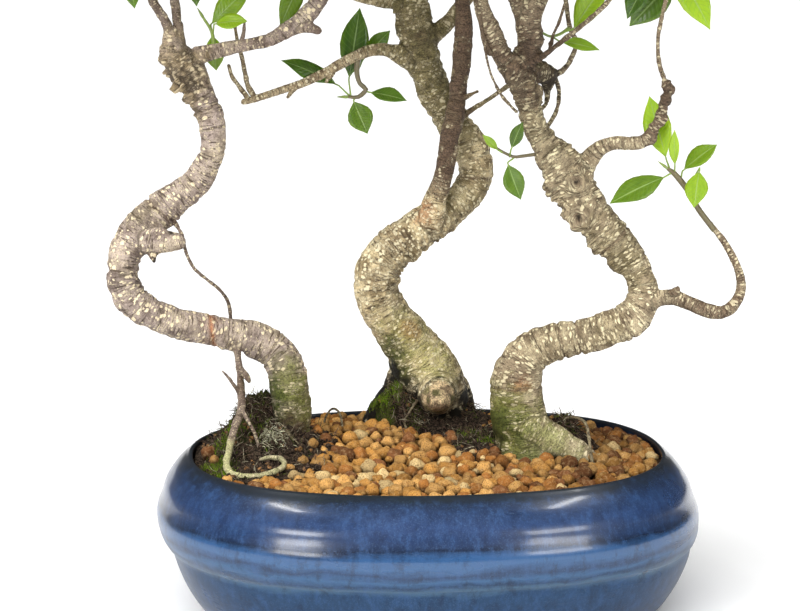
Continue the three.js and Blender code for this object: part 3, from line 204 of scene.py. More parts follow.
RIGHT_TREE = {
    "trunk": [
        (65, 0, ROOT_DEPTH, 19), (65, 0, 104, 19), (61, 0, 125, 18.4), (59, 0, 141, 17.7),
        (59, 0, 154, 16.6), (65, 0, 167, 14.6), (77, -2, 175, 13), (90, -4, 179, 12),
        (104, -6, 182, 11.4), (116, -8, 186, 11.3), (128, -8, 191, 11.8), (137, -6, 199, 11),
        (140, -4, 209, 9.7), (138, -2, 219, 9.7), (133, 0, 229, 10.7), (125, 0, 240, 11.7),
        (115, 0, 251, 12), (105, 0, 262, 12.9), (98, 0, 273, 13.2), (92, 2, 284, 14.4),
        (84, 4, 295, 12.7), (77, 6, 304, 10), (71, 6, 313, 8.1), (67, 5, 324, 8), (65, 4, 334, 9),
        (62, 4, 344, 9.7), (55, 4, 354, 8.6),
    ],
    "toe": [(65, -6, 121, 14), (82, -6, 112, 11.1), (97, -8, 105, 8.5), (110, -10, 97, 5.9)],
    "left_fork": [
        (57, 4, 351, 8), (49, 4, 361, 6.7), (44, 4, 371, 6.7), (40, 4, 380, 6.4), (36, 4, 389, 5.4),
        (33, 4, 400, 5), (27, 0, 414, 4.4), (22, -10, 430, 3.6), (20, -26, 444, 2.8),
        (14, -42, 456, 2),
    ],
    "right_fork": [
        (60, 6, 350, 7.1), (64, 8, 362, 8), (66, 8, 373, 8.6), (65, 8, 384, 8.4), (67, 8, 393, 8),
        (73, 10, 405, 6.4), (80, 8, 420, 5.2), (86, 2, 438, 4.1), (84, -6, 456, 3),
        (88, -12, 474, 2),
    ],
    "right_fork_left": [
        (64, 8, 383, 6.4), (58, 8, 395, 5.4), (54, 8, 406, 5), (50, 4, 420, 4.3),
        (53, -10, 434, 3.4), (58, -32, 444, 2.4), (62, -56, 450, 1.7),
    ],
    "high_right": [
        (98, 2, 287, 8.4), (106, 0, 298, 5.8), (112, -2, 304, 5), (120, -4, 307, 4.5),
        (130, -6, 307, 4.6), (139, -8, 309, 4.2), (144, -8, 316, 3.6), (149, -8, 325, 3),
        (151, -8, 333, 2.9), (154, -8, 341, 2.4), (151, -8, 347, 1.8), (147, -8, 359, 1.7),
        (146, -8, 373, 1.6), (148, -8, 386, 1.6), (151, -8, 399, 1.6), (155, -10, 415, 1.6),
        (163, -14, 434, 1.5),
    ],
    "low_right": [
        (136, -5, 200, 8.6), (148, -8, 206, 5.8), (158, -10, 208, 5), (170, -12, 204, 4.9),
        (180, -14, 200, 4.8), (190, -16, 199, 4.4), (198, -16, 205, 3.8), (202, -14, 217, 3.2),
        (198, -12, 231, 2.7), (190, -10, 245, 2.3), (181, -8, 256, 2),
    ],
    "right_twig": [
        (65, 7, 357, 3.2), (76, 2, 364, 1.9), (86, -2, 372, 1.7), (98, -6, 382, 1.5),
        (109, -8, 392, 1.5), (118, -10, 402, 1.5), (134, -22, 422, 1.4),
    ],
    "gall": [
        (67, 14, 352, 5.4), (78, 23, 348, 7.3), (78, 24, 339, 2.8), (78, 22, 332, 1.8),
        (73, 16, 326, 1.6),
    ],
    "gall_twig": [
        (80, 24, 347, 2.6), (89, 26, 352, 1.9), (94, 28, 359, 1.7), (97, 30, 369, 1.7),
        (93, 30, 378, 1.5), (91, 30, 390, 1.4), (90, 32, 404, 1.4), (98, 46, 428, 1.4),
    ],
    "gall_root": [
        (83, 24, 348, 1.6), (86, 24, 337, 1.4), (84, 18, 326, 1.4), (79, 12, 318, 1.4),
        (73, 7, 312, 1.4),
    ],
    "crown_front_left": [
        (27, 0, 414, 3.4), (22, -24, 420, 2.7), (14, -50, 426, 2.1), (4, -74, 430, 1.6),
    ],
    "crown_right": [(80, 8, 420, 3.8), (98, 18, 430, 3), (118, 28, 440, 2.4), (140, 40, 448, 1.6)],
    "crown_front_right": [
        (86, 2, 438, 3.2), (98, -20, 447, 2.6), (108, -44, 451, 2), (112, -66, 452, 1.6),
    ],
    "crown_top_right": [(84, -6, 456, 2.6), (100, 6, 466, 2), (114, 22, 474, 1.5)],
    "crown_far_right": [(155, -10, 415, 1.6), (168, -2, 426, 1.5), (180, 10, 436, 1.4)],
}

# Each placed twig: its own points, then its leaves, each where its stalk starts, the
# blade's base, its tip, its width, and a point that its face looks to.
PLACED_TWIGS = {
    "hanging_twig": {
        "twig": [
            (-45, 46, 360, 2.4), (-46, 47, 349, 1.8), (-44, 48, 341, 1.5), (-40, 49, 337, 1.7),
            (-45, 50, 332, 1.5), (-51, 50, 332, 1.2),
        ],
        "leaves": [
            ((-50, 50, 332), (-51, 53, 345), (-44, 58, 390), 19, (-50, -100, 380)),
            ((-46, 47, 348), (-40, 62, 358), (-24, 62, 375), 12, (-20, -100, 420)),
            ((-50, 50, 332), (-60, 54, 340), (-96, 50, 356), 15, (-100, -60, 460)),
            ((-41, 49, 336), (-37, 49, 335), (-13, 44, 330), 12, (-20, -80, 440)),
            ((-47, 50, 332), (-48, 49, 329), (-39, 46, 308), 17, (-40, -100, 330)),
        ],
    },
    "stem_twig": {
        "twig": [
            (69, 2, 299, 1.2), (60, 0, 298, 1.1), (55, -1, 298, 1), (47, -3, 302, 0.9),
            (43, -4, 305, 0.8),
        ],
        "leaves": [
            ((57, 0, 298), (52, -3, 293), (60, -8, 271), 14, (40, -100, 290)),
            ((53, -1, 298), (54, -6, 304), (61, -8, 321), 9, (20, -100, 320)),
            ((48, -3, 301), (45, -5, 303), (35, -10, 313), 5.5, (40, -100, 340)),
        ],
    },
    "low_right_twig": {
        "twig": [
            (184, -9, 252, 2), (174, -9, 265, 1.9), (169, -10, 274, 1.8), (164, -10, 281, 2),
            (158, -10, 288, 1.8), (154, -10, 291, 1.2),
        ],
        "leaves": [
            ((157, -10, 289), (151, -13, 286), (116, -20, 270), 17, (120, -100, 330)),
            ((155, -10, 291), (153, -3, 298), (143, 8, 336), 18, (130, -100, 330)),
            ((158, -10, 288), (158, -12, 294), (157, -16, 317), 7, (120, -100, 310)),
            ((162, -10, 283), (165, -4, 290), (187, 6, 305), 14, (150, -90, 380)),
            ((166, -10, 277), (173, -17, 290), (169, -26, 268), 15, (150, -100, 280)),
        ],
    },
    "green_shoot": {
        "twig": [(-137, 14, 367, 1.4), (-139, 18, 377, 1.1), (-144, 20, 385, 0.9)],
        "leaves": [
            ((-139, 18, 377), (-139, 23, 382), (-114, 26, 405), 16, (-140, -60, 420)),
            ((-138, 17, 376), (-136, 14, 382), (-115, 6, 384), 13, (-120, -60, 440)),
            ((-139, 18, 375), (-139, 24, 374), (-137, 27, 351), 13, (-130, -60, 370)),
        ],
    },
    "young_shoot": {
        "twig": [(93, 30, 379, 1.2), (86, 22, 375, 1), (79, 14, 374, 0.9), (73, 7, 377, 0.8)],
        "leaves": [
            ((88, 24, 376), (95, 23, 379), (116, 14, 410), 18, (80, -60, 410)),
            ((80, 15, 374), (86, 10, 371), (110, 0, 366), 9, (90, -80, 430)),
        ],
    },
    "high_right_twig": {
        "twig": [(151, -8, 402, 1.5), (150, -3, 411, 1.3), (148, 1, 420, 1)],
        "leaves": [
            ((149, -1, 416), (143, 5, 415), (127, -1, 386), 17, (120, -60, 450)),
            ((150, -3, 412), (157, 4, 411), (129, 4, 381), 21, (130, -100, 400)),
            ((149, 0, 418), (157, -3, 420), (178, -16, 380), 19, (170, -100, 400)),
            ((148, 1, 419), (147, 8, 425), (138, 36, 438), 17, (140, 0, 540)),
        ],
    },
    "gold_twig": {
        "twig": [(-69, 16, 398, 1.5), (-73, 24, 410, 1.3), (-75, 28, 418, 1)],
        "leaves": [
            ((-73, 24, 410), (-80, 26, 412), (-95, 22, 380), 14, (-90, -100, 400)),
            ((-74, 26, 414), (-80, 32, 417), (-104, 44, 432), 17, (-100, 20, 540)),
            ((-75, 27, 417), (-72, 32, 422), (-52, 34, 448), 17, (-110, -20, 520)),
        ],
    },
    "left_tip_twig": {
        "twig": [(-163, 18, 408, 1.5), (-156, 17, 416, 1.2), (-152, 18, 424, 1)],
        "leaves": [
            ((-155, 17, 418), (-151, 16, 419), (-148, 14, 393), 12, (-130, -100, 400)),
            ((-153, 18, 421), (-150, 24, 424), (-136, 48, 434), 16, (-150, 0, 540)),
        ],
    },
    "far_left_twig": {
        "twig": [(-181, -10, 415, 1.4), (-187, -9, 420, 1.2), (-192, -6, 427, 1)],
        "leaves": [
            ((-188, -8, 421), (-190, -8, 416), (-185, -12, 393), 12, (-160, -100, 400)),
            ((-191, -7, 425), (-195, -8, 429), (-220, -18, 440), 16, (-230, 10, 540)),
            ((-191, -6, 426), (-193, 0, 430), (-206, 26, 424), 15, (-260, 20, 500)),
        ],
    },
}

# Small growth on the limbs: x, y, z, radius as in the trees above.
LEFT_TWIGS = [
    [(-187, 4, 246, 11), (-177, 0, 244, 9.4), (-168, -2, 243, 7.2), (-161, -3, 243, 5.4)],
    [(-178, 0, 238, 4.4), (-177, -5, 234, 2.6), (-176, -7, 231, 1.5)],
    [(-148, 8, 340, 3), (-143, 2, 345, 2.2), (-141, -1, 349, 1.2)],
    [(-120, 12, 368, 2), (-118, 10, 376, 1.3), (-117, 9, 384, 0.8)],
    [(-121, 0, 141, 1.6), (-125, -2, 147, 1.3), (-129, -3, 153, 1.1), (-133, -4, 158, 0.7)],
    [(-122, 2, 158, 2.6), (-118, 0, 154, 2.2), (-116, -1, 151, 1.6)],
]
MIDDLE_TWIGS = [
    [(-60, 44, 353, 2.4), (-63, 42, 347, 2), (-66, 40, 343, 1.3)],
    [(-84, 40, 341, 2.2), (-88, 38, 337, 1.8), (-91, 37, 333, 1.1)],
    [(20, 38, 331, 3), (27, 34, 334, 1.6), (33, 32, 337, 0.8)],
    [(-18, 48, 394, 3.4), (-20, 42, 390, 2.4), (-21, 38, 388, 1.4)],
]
RIGHT_TWIGS = [
    [(31, 2, 401, 1.9), (33, 0, 388, 1.7), (36, 0, 374, 1.7), (40, 0, 364, 2)],
    [(36, 0, 372, 0.9), (38, -4, 360, 0.8), (41, -5, 350, 0.8), (47, -4, 338, 0.8),
     (53, -3, 331, 0.8), (57, -1, 327, 1)],
    [(78, 6, 366, 1.1), (81, 4, 377, 1), (84, 2, 384, 1), (87, 0, 395, 0.9)],
    [(155, -9, 207, 5), (159, -12, 211, 3.4), (161, -14, 214, 2)],
]

# Marks on the bark: tint, x, y, z, reach and strength.
LEFT_MARKS = [
    ("algae", -80, 6, 130, 24, 0.8), ("algae", -84, 8, 112, 20, 0.85),
    ("dark", -164, -4, 250, 3.5, 0.9), ("dark", -176, -8, 231, 3.5, 0.9),
    ("rust", -143, 10, 184, 9, 0.3), ("rust", -123, -8, 154, 5, 0.75), ("brown", -121, 0, 146, 9, 0.8),
    ("ochre", -164, 2, 352, 28, 0.6), ("ochre", -160, 2, 330, 18, 0.45),
    ("algae", -92, 4, 150, 20, 0.7), ("mossy", -98, 6, 124, 15, 0.8),
    ("mossy", -103, 16, 140, 14, 0.85), ("dark", -104, 18, 120, 14, 0.9),
    ("brown", -86, 6, 111, 16, 0.85), ("dark", -97, 8, 110, 13, 0.85), ("brown", -90, 5, 126, 9, 0.4),
    ("olive", -186, -6, 262, 14, 0.4), ("brown", -76, 4, 108, 9, 0.5),
    ("pale", -128, -42, 110, 15, 0.7), ("pale", -124, -58, 103, 22, 0.7),
    ("pale", -101, -50, 104, 22, 0.7), ("brown", -112, -14, 118, 9, 0.5),
    ("dark", -119, -10, 122, 6, 0.6),
]
MIDDLE_MARKS = [
    ("fresh", -8, 40, 170, 28, 0.55), ("algae", -24, 46, 150, 20, 0.5), ("fresh", 14, 44, 150, 16, 0.4),
    ("algae", 14, 50, 340, 40, 0.25), ("algae", 26, 60, 108, 20, 0.5), ("dark", -32, 60, 114, 30, 0.97),
    ("dark", 27, 72, 116, 18, 0.95), ("dark", -10, 48, 122, 17, 0.93), ("dark", -24, 62, 136, 13, 0.95),
    ("dark", -32, 66, 122, 20, 0.97), ("dark", 22, 72, 132, 9, 0.9), ("dark", 6, 50, 252, 7, 0.7),
    ("rust", 0, 40, 256, 11, 0.6), ("rust", 11, 26, 130, 6, 0.5), ("olive", -4, 46, 392, 42, 0.9),
    ("olive", 27, 50, 262, 24, 0.5), ("mossy", -26, 44, 160, 15, 0.75),
    ("mossy", -16, 46, 144, 14, 0.75), ("dark", -8, 44, 128, 12, 0.85), ("dark", -22, 54, 144, 11, 0.9),
    ("olive", 12, 44, 316, 34, 0.6), ("olive", -8, 40, 210, 30, 0.25), ("algae", 24, 34, 134, 9, 0.4),
    ("rust", -10, 44, 176, 9, 0.35), ("brown", -24, 40, 238, 14, 0.4),
    ("brown", -34, 42, 212, 10, 0.35), ("olive", 6, 48, 350, 38, 0.85), ("dark", -24, 46, 150, 9, 0.9),
    ("dark", -14, 42, 140, 9, 0.85), ("dark", 28, 56, 126, 17, 1.0), ("dark", 24, 46, 116, 16, 1.0),
    ("dark", 6, 36, 114, 14, 1.0), ("dark", -8, 36, 124, 9, 0.95),
]
MIDDLE_MARKS += [("brown", x, y - 4, z, 15, 0.83)
                 for x, y, z, _ in MIDDLE_TREE["front_stem"][2:13]]
RIGHT_MARKS = [
    ("algae", 46, -12, 138, 20, 0.8), ("algae", 44, -8, 120, 20, 0.85),
    ("fresh", 60, -16, 112, 18, 0.45), ("algae", 62, -14, 118, 28, 0.6),
    ("algae", 82, -22, 106, 26, 0.5), ("pale", 80, -26, 108, 22, 0.4),
    ("mossy", 46, -14, 124, 17, 0.85), ("dark", 42, -8, 110, 12, 0.75),
    ("mossy", 66, -18, 104, 16, 0.6), ("brown", 52, -14, 158, 15, 0.4),
    ("olive", 92, -10, 284, 26, 0.12), ("olive", 74, -4, 338, 36, 0.45),
    ("olive", 122, -10, 240, 26, 0.45), ("olive", 90, -14, 172, 30, 0.2),
    ("brown", 154, -8, 346, 15, 0.75), ("brown", 150, -8, 334, 13, 0.6),
    ("brown", 147, -8, 318, 17, 0.7), ("olive", 128, -10, 222, 18, 0.3),
    ("brown", 62, 0, 380, 44, 0.72), ("brown", 52, 0, 350, 30, 0.5), ("brown", 80, 2, 362, 28, 0.5),
    ("brown", 170, -10, 208, 16, 0.6), ("brown", 190, -8, 200, 22, 0.6),
    ("brown", 96, -18, 170, 8, 0.35), ("olive", 118, -18, 186, 14, 0.35),
    ("dark", 95, -12, 283, 3, 0.9), ("dark", 97.5, -11, 260, 3, 0.85), ("dark", 78, 22, 345, 15, 0.8),
    ("dark", 91, -8, 247, 4, 0.4), ("rust", 61, -12, 152, 7, 0.4),
]
# Creases round a limb: tint, x, y, z of its middle, the limb's way x and z, half width, depth.
LEFT_CREASES = [
    ("rust", -141, 12, 186, 1, 0.16, 1.3, 0.9), ("brown", -172, 8, 262, 0.66, 0.75, 1.2, 1.5),
    ("brown", -142, 8, 329, -0.35, 0.94, 0.8, 0.8), ("brown", -100, 20, 172, 0.9, -0.5, 0.8, 0.8),
    (None, -196, 0, 222, 0.1, 1, 1.1, 0.6), (None, -120, 18, 181, 1, -0.1, 0.9, 0.5),
    (None, -190, 0, 205, -0.7, 0.7, 1.2, 0.6), (None, -139, 8, 300, 0, 1, 1.2, 0.6),
]
MIDDLE_CREASES = [
    (None, -33, 54, 210, -0.1, 1, 1.4, 0.6), (None, -12, 60, 165, -0.6, 0.8, 1.3, 0.5),
    ("brown", 32, 62, 278, 0.1, 1, 1.2, 0.7), (None, 12, 64, 322, -0.5, 0.85, 1.4, 0.7),
    (None, 1, 60, 347, -0.35, 0.95, 1.2, 0.6), (None, -6, 57, 371, -0.2, 1, 1.2, 0.6),
]
RIGHT_CREASES = [
    ("brown", 87, -4, 178, 1, 0.25, 1.1, 1.3), ("brown", 98, -5, 181, 1, 0.25, 1.0, 1.1),
    (None, 72, -2, 172, 0.8, 0.5, 1.0, 0.8), ("brown", 128, -8, 190, 0.8, 0.5, 1.1, 0.9),
    (None, 140, -4, 210, 0, 1, 0.9, 0.6), ("brown", 121, 0, 244, -0.75, 0.7, 1.2, 1.0),
    (None, 108, 0, 259, -0.7, 0.7, 1.2, 0.8), (None, 84, 4, 296, -0.6, 0.8, 1.1, 0.8),
    ("brown", 59, -2, 148, 0, 1, 1.0, 0.6), (None, 66, 5, 328, -0.3, 1, 1.1, 0.7),
]
# Round knots: x, y, z, size, how far the ring stands out, how deep the eye is.
LEFT_KNOTS = [
    (-186, -4, 262, 9, 1.2, 0), (-84, 8, 160, 7, 1.0, 0),
]
MIDDLE_KNOTS = [
    (-4, 46, 372, 7, 1.2, 1.0), (-12, 44, 352, 6, 1.0, 0.8), (22, 52, 262, 7, 1.2, 0),
    (8, 26, 133, 24, 1.2, 0), (8, 26, 133, 19, -1.2, 0),
]
RIGHT_KNOTS = [
    (95, -12, 283, 8, 1.8, 1.7), (97.5, -11, 260, 8, 1.6, 1.6), (119, -19, 186, 9, 1.0, 0.2),
    (82, -2, 277, 9, 3.0, 0), (92, -2, 256, 10, 3.4, 0), (106, -3, 238, 9, 3.0, 0),
    (120, -3, 226, 8, 2.2, 0), (84, -8, 300, 7, 1.6, 0), (72, -8, 318, 6, 1.6, 1.2),
    (154, -8, 344, 4.5, 1.6, 0), (152, -9, 335, 4, 1.4, 0), (149, -8, 322, 4.5, 1.5, 0),
    (143, -8, 310, 4, 1.3, 0),
]
# Gnarled places, where small lumps crowd: x, y, z, reach and how far they stand out; the cracks between
# the lumps get painted shade.
LEFT_GNARLS = [
    (-164, 2, 352, 27, 2.6), (-156, 2, 336, 22, 2.2), (-186, -4, 262, 14, 0.8),
    (-194, -2, 222, 18, 0.9),
]
MIDDLE_GNARLS = [
    (-6, 44, 222, 30, 1.3), (-20, 44, 200, 20, 1.0), (10, 46, 246, 18, 1.1), (-12, 44, 176, 22, 0.8),
    (12, 50, 330, 26, 1.0), (-6, 48, 370, 26, 1.1),
]
RIGHT_GNARLS = [
    (92, -8, 275, 30, 1.4), (70, -2, 352, 34, 1.9), (84, -6, 312, 20, 1.3), (150, -8, 330, 24, 1.2),
    (118, -8, 240, 18, 1.0), (106, -10, 190, 14, 0.8),
]
LEFT_LOOKS = (LEFT_MARKS, LEFT_CREASES, LEFT_KNOTS, LEFT_GNARLS)
MIDDLE_LOOKS = (MIDDLE_MARKS, MIDDLE_CREASES, MIDDLE_KNOTS, MIDDLE_GNARLS)
RIGHT_LOOKS = (RIGHT_MARKS, RIGHT_CREASES, RIGHT_KNOTS, RIGHT_GNARLS)


def in_pot(points):
    """Points of the pot's own frame, in millimetres, as metres of the part's frame."""
    return (np.asarray(points, float) + (*PLANTING_SHIFT, 0)) * MM


def turned(x, y):
    """The pot's own x and y of a place in the front view."""
    cosine, sine = math.cos(FRONT_TURN), math.sin(FRONT_TURN)
    return x * cosine - y * sine, x * sine + y * cosine


def front(points):
    """Points of the front view, in millimetres, as metres of the part's frame."""
    points = np.asarray(points, float)
    x, y = turned(points[..., 0], points[..., 1])
    return in_pot(np.stack([x, y, points[..., 2]], axis=-1))


def unit(vectors):
    vectors = np.asarray(vectors, float)
    lengths = np.linalg.norm(vectors, axis=-1, keepdims=True)
    return vectors / np.maximum(lengths, 1e-9)


def smooth_step(value, low, high):
    share = np.clip((value - low) / (high - low), 0, 1)
    return share * share * (3 - 2 * share)


def rough(points, seed=0):
    """Smooth random values from -1 to 1, at points on a grid whose step is 1."""
    cell = np.floor(points).astype(np.int64)
    share = points - cell
    share = share * share * (3 - 2 * share)
    total = np.zeros(len(points))
    for corner in np.ndindex(2, 2, 2):
        key = (cell + corner) @ np.array([73856093, 19349663, 83492791]) + seed * 2654435761
        key = (key ^ (key >> 13)) * 1274126177
        value = ((key ^ (key >> 16)) & 0xFFFF) / 32767.5 - 1
        weight = np.prod(np.where(corner, share, 1 - share), axis=1)
        total += weight * value
    return total


def rough_sum(points, octaves=3, seed=0):
    return sum(rough(points * 2 ** i, seed + i) / 2 ** i for i in range(octaves))


class Shape:
    """Points and faces that are gathered from several parts, with values for each point."""

    def __init__(self):
        self.points = []
        self.faces = []
        self.values = {}
        self.count = 0

    def add(self, points, faces, **values):
        self.points.append(np.asarray(points, float))
        self.faces.extend(tuple(int(i) + self.count for i in face) for face in faces)
        for name, value in values.items():
            self.values.setdefault(name, []).append(np.asarray(value, float))
        self.count += len(points)


def skin_faces(rows, sides, outward=True):
    """Four-sided faces between rings of points that follow each other."""
    faces = []
    for row in range(rows - 1):
        for side in range(sides):
            a, b = row * sides + side, row * sides + (side + 1) % sides
            faces.append((a, b, b + sides, a + sides) if outward else (a, a + sides, b + sides, b))
    return faces


def linked(name, data):
    """An object in the scene that shows a mesh, a lamp or a lens."""
    made = bpy.data.objects.new(name, data)
    bpy.context.scene.collection.objects.link(made)
    return made


def mesh_of(name, points, faces, values=None):
    mesh = bpy.data.meshes.new(name)
    mesh.from_pydata(np.asarray(points).tolist(), [], faces)
    mesh.polygons.foreach_set("use_smooth", [True] * len(mesh.polygons))
    for key, value in (values or {}).items():
        if value.shape[1] == 3:
            layer = mesh.attributes.new(key, "FLOAT_VECTOR", "POINT")
            layer.data.foreach_set("vector", value.astype(np.float32).ravel())
        else:
            layer = mesh.attributes.new(key, "FLOAT_COLOR", "POINT")
            layer.data.foreach_set("color", value.astype(np.float32).ravel())
    mesh.update()
    return mesh


def one_shade(tone, count):
    """The same tone for each of so many points."""
    return np.tile((*tone, 1.0), (count, 1))


def piece_of(name, shape, material, node):
    """Puts a shape in the scene as the piece of the planting that stands for a node."""
    values = {key: np.vstack(value) for key, value in shape.values.items()}
    made = linked(name, mesh_of(name, np.vstack(shape.points), shape.faces, values))
    made.data.materials.append(material)
    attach(made, "root")
    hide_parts(node)


def modified(points, faces, kind, **settings):
    """The points and faces that a modifier makes of a closed mesh."""
    carrier = linked("carrier", mesh_of("carrier", points, faces))
    modifier = carrier.modifiers.new("change", kind)
    for key, value in settings.items():
        setattr(modifier, key, value)
    done = carrier.evaluated_get(bpy.context.evaluated_depsgraph_get()).to_mesh()
    points = np.zeros(len(done.vertices) * 3)
    done.vertices.foreach_get("co", points)
    faces = [tuple(face.vertices) for face in done.polygons]
    carrier.to_mesh_clear()
    bpy.data.objects.remove(carrier)
    return points.reshape(-1, 3), faces


def smooth_path(points, step):
    """A smooth curve through the points, in steps of about that length."""
    points = np.asarray(points, float)
    ends = np.vstack([2 * points[0] - points[1], points, 2 * points[-1] - points[-2]])
    parts = []
    for i in range(len(points) - 1):
        a, b, c, d = ends[i:i + 4]
        count = max(1, math.ceil(np.linalg.norm((c - b)[:3]) / step))
        t = np.arange(count)[:, None] / count
        curve = (2 * b + (c - a) * t + (2 * a - 5 * b + 4 * c - d) * t ** 2
                 + (3 * b - a - 3 * c + d) * t ** 3)
        parts.append(curve / 2)
    return np.vstack([*parts, points[-1:]])


def frames_along(path):
    """Unit vectors ahead, across and the other way across, turned as little as may be."""
    ahead = unit(np.gradient(path[:, :3], axis=0))
    across = np.cross(ahead[0], (1, 0, 0))
    if np.linalg.norm(across) < 0.3:
        across = np.cross(ahead[0], (0, 1, 0))
    acrosses = []
    for way in ahead:
        across = unit(across - np.dot(across, way) * way)
        acrosses.append(across)
    acrosses = np.array(acrosses)
    return ahead, acrosses, np.cross(ahead, acrosses)


def lengths_along(path):
    """How far along a path each of its points is."""
    steps = np.linalg.norm(np.diff(path[:, :3], axis=0), axis=1)
    return np.concatenate([[0], np.cumsum(steps)])


def tube(path, sides, wobble=0.0, seed=0):
    """A closed tube with rounded ends: its points, faces and its straightened points."""
    path = np.asarray(path, float)
    ahead, across, other = frames_along(path)
    along = lengths_along(path)
    radii = path[:, 3]
    start_cap = [(-0.8, 0.55), (-0.45, 0.88)]
    end_cap = [(0.45, 0.88), (0.8, 0.55)]
    rows = [(0, push * radii[0], radii[0] * share) for push, share in start_cap]
    rows += [(i, 0, radii[i]) for i in range(len(path))]
    last = len(path) - 1
    rows += [(last, push * radii[last], radii[last] * share) for push, share in end_cap]
    angles = 2 * math.pi * np.arange(sides) / sides
    cosines, sines = np.cos(angles), np.sin(angles)
    points, flat = [], []
    for i, push, radius in rows:
        ring = np.outer(cosines, across[i]) + np.outer(sines, other[i])
        size = radius
        if wobble:
            height = np.full(sides, (along[i] + push) / (2.2 * radii[i]))
            uneven = rough(np.column_stack([cosines * 1.2, sines * 1.2, height]), seed)
            size = radius * (1 + wobble * uneven)[:, None]
        points.append(path[i, :3] + ahead[i] * push + ring * size)
        flat.append(np.column_stack([cosines * radius, sines * radius,
                                     np.full(sides, along[i] + push)]))
    points.append([path[0, :3] - ahead[0] * radii[0], path[-1, :3] + ahead[-1] * radii[-1]])
    flat.append([(0, 0, -radii[0]), (0, 0, along[-1] + radii[-1])])
    count = len(rows)
    faces = skin_faces(count, sides)
    first, final = count * sides, count * sides + 1
    for side in range(sides):
        following = (side + 1) % sides
        faces.append((first, following, side))
        faces.append((final, (count - 1) * sides + side, (count - 1) * sides + following))
    return np.vstack(points), faces, np.vstack(flat)


def relaxed(points, faces, rounds):
    """Smooths a closed mesh without shrinking it much."""
    edges = np.array(sorted({tuple(sorted(pair)) for face in faces
                             for pair in zip(face, face[1:] + face[:1])}))
    counts = np.bincount(edges.ravel(), minlength=len(points))[:, None]
    for turn in range(rounds):
        total = np.zeros_like(points)
        np.add.at(total, edges[:, 0], points[edges[:, 1]])
        np.add.at(total, edges[:, 1], points[edges[:, 0]])
        pull = 0.55 if turn % 2 == 0 else -0.53
        points = points + pull * (total / counts - points)
    return points


def joined_limbs(limbs):
    """One skin round all the limbs, grown together where they meet."""
    shape = Shape()
    for path in limbs:
        points, faces, _ = tube(path, 18)
        shape.add(points, faces)
    return modified(np.vstack(shape.points), shape.faces, "REMESH", mode="VOXEL",
                    voxel_size=BARK_VOXEL)


def normals_of(points, faces):
    normals = np.zeros_like(points)
    quads = np.array([face if len(face) == 4 else (*face, face[0]) for face in faces])
    corner = points[quads]
    face_normals = np.cross(corner[:, 2] - corner[:, 0], corner[:, 3] - corner[:, 1])
    for i in range(4):
        np.add.at(normals, quads[:, i], face_normals)
    return unit(normals)


def straightened(points, limbs):
    """Where each point is on its limb as if the limb were straight, and the limb's radius."""
    rows = []
    for number, path in enumerate(limbs):
        start = LIMB_STRETCH * number
        rows.append(np.column_stack([path, *frames_along(path), lengths_along(path) + start]))
    rows = np.vstack(rows)
    samples, radii, distances = rows[:, :3], rows[:, 3], rows[:, 13]
    ways, acrosses, others = rows[:, 4:7], rows[:, 7:10], rows[:, 10:13]
    tree = kdtree.KDTree(len(samples))
    for number, sample in enumerate(samples):
        tree.insert(sample, number)
    tree.balance()
    nearest = np.empty(len(points), int)
    for number, point in enumerate(points):
        found = tree.find_n(point, 24)
        nearest[number] = min(found, key=lambda hit: hit[2] - radii[hit[1]])[1]
    away = points - samples[nearest]
    flat = np.column_stack([
        np.sum(away * acrosses[nearest], axis=1),
        np.sum(away * others[nearest], axis=1),
        distances[nearest] + np.sum(away * ways[nearest], axis=1),
    ])
    return flat, radii[nearest]


TINTS = {
    "algae": (0.165, 0.175, 0.036),
    "fresh": (0.36, 0.35, 0.10),
    "dark": (0.012, 0.010, 0.007),
    "rust": (0.42, 0.16, 0.055),
    "cut": (0.56, 0.42, 0.24),
    "pale": (0.60, 0.58, 0.28),
    "brown": (0.115, 0.072, 0.046),
    "olive": (0.17, 0.14, 0.06),
    "ochre": (0.30, 0.225, 0.105),
    "mossy": (0.055, 0.066, 0.014),
    # The last tint is painted shade, laid in the cracks between the lumps of gnarled bark.
    "crack": (0.060, 0.042, 0.026),
}


def overlaid(tint, kind, share):
    """Lays a tint over what is there, by a share for each point."""
    share = share[:, None]
    amount = share + tint[:, 3:] * (1 - share)
    tone = np.array(TINTS[kind]) * share + tint[:, :3] * tint[:, 3:] * (1 - share)
    return np.hstack([tone / np.maximum(amount, 1e-6), amount])


def gap_from(points, x, y, z, reach):
    """How far points are from a place, as a share of its reach."""
    return np.linalg.norm(points - (x, y, z), axis=1) / reach


def crease_share(points, crease):
    _, x, y, z, way_x, way_z, half_width, _ = crease
    way = unit((way_x, 0, way_z))
    away = points - (x, y, z)
    wander = 0.9 * rough(points / 7.0, 8)
    across = np.abs(away @ way + wander) / half_width
    near = 1 - smooth_step(np.linalg.norm(away, axis=1), 18, 24)
    return np.exp(-across ** 2) * near


def lumps_at(points):
    """How far up a small lump of gnarled bark each point is, from 0 in its cracks to 1."""
    return smooth_step(rough(points / 2.7, 12) + 0.4 * rough(points / 5.5, 13), -0.1, 0.6)


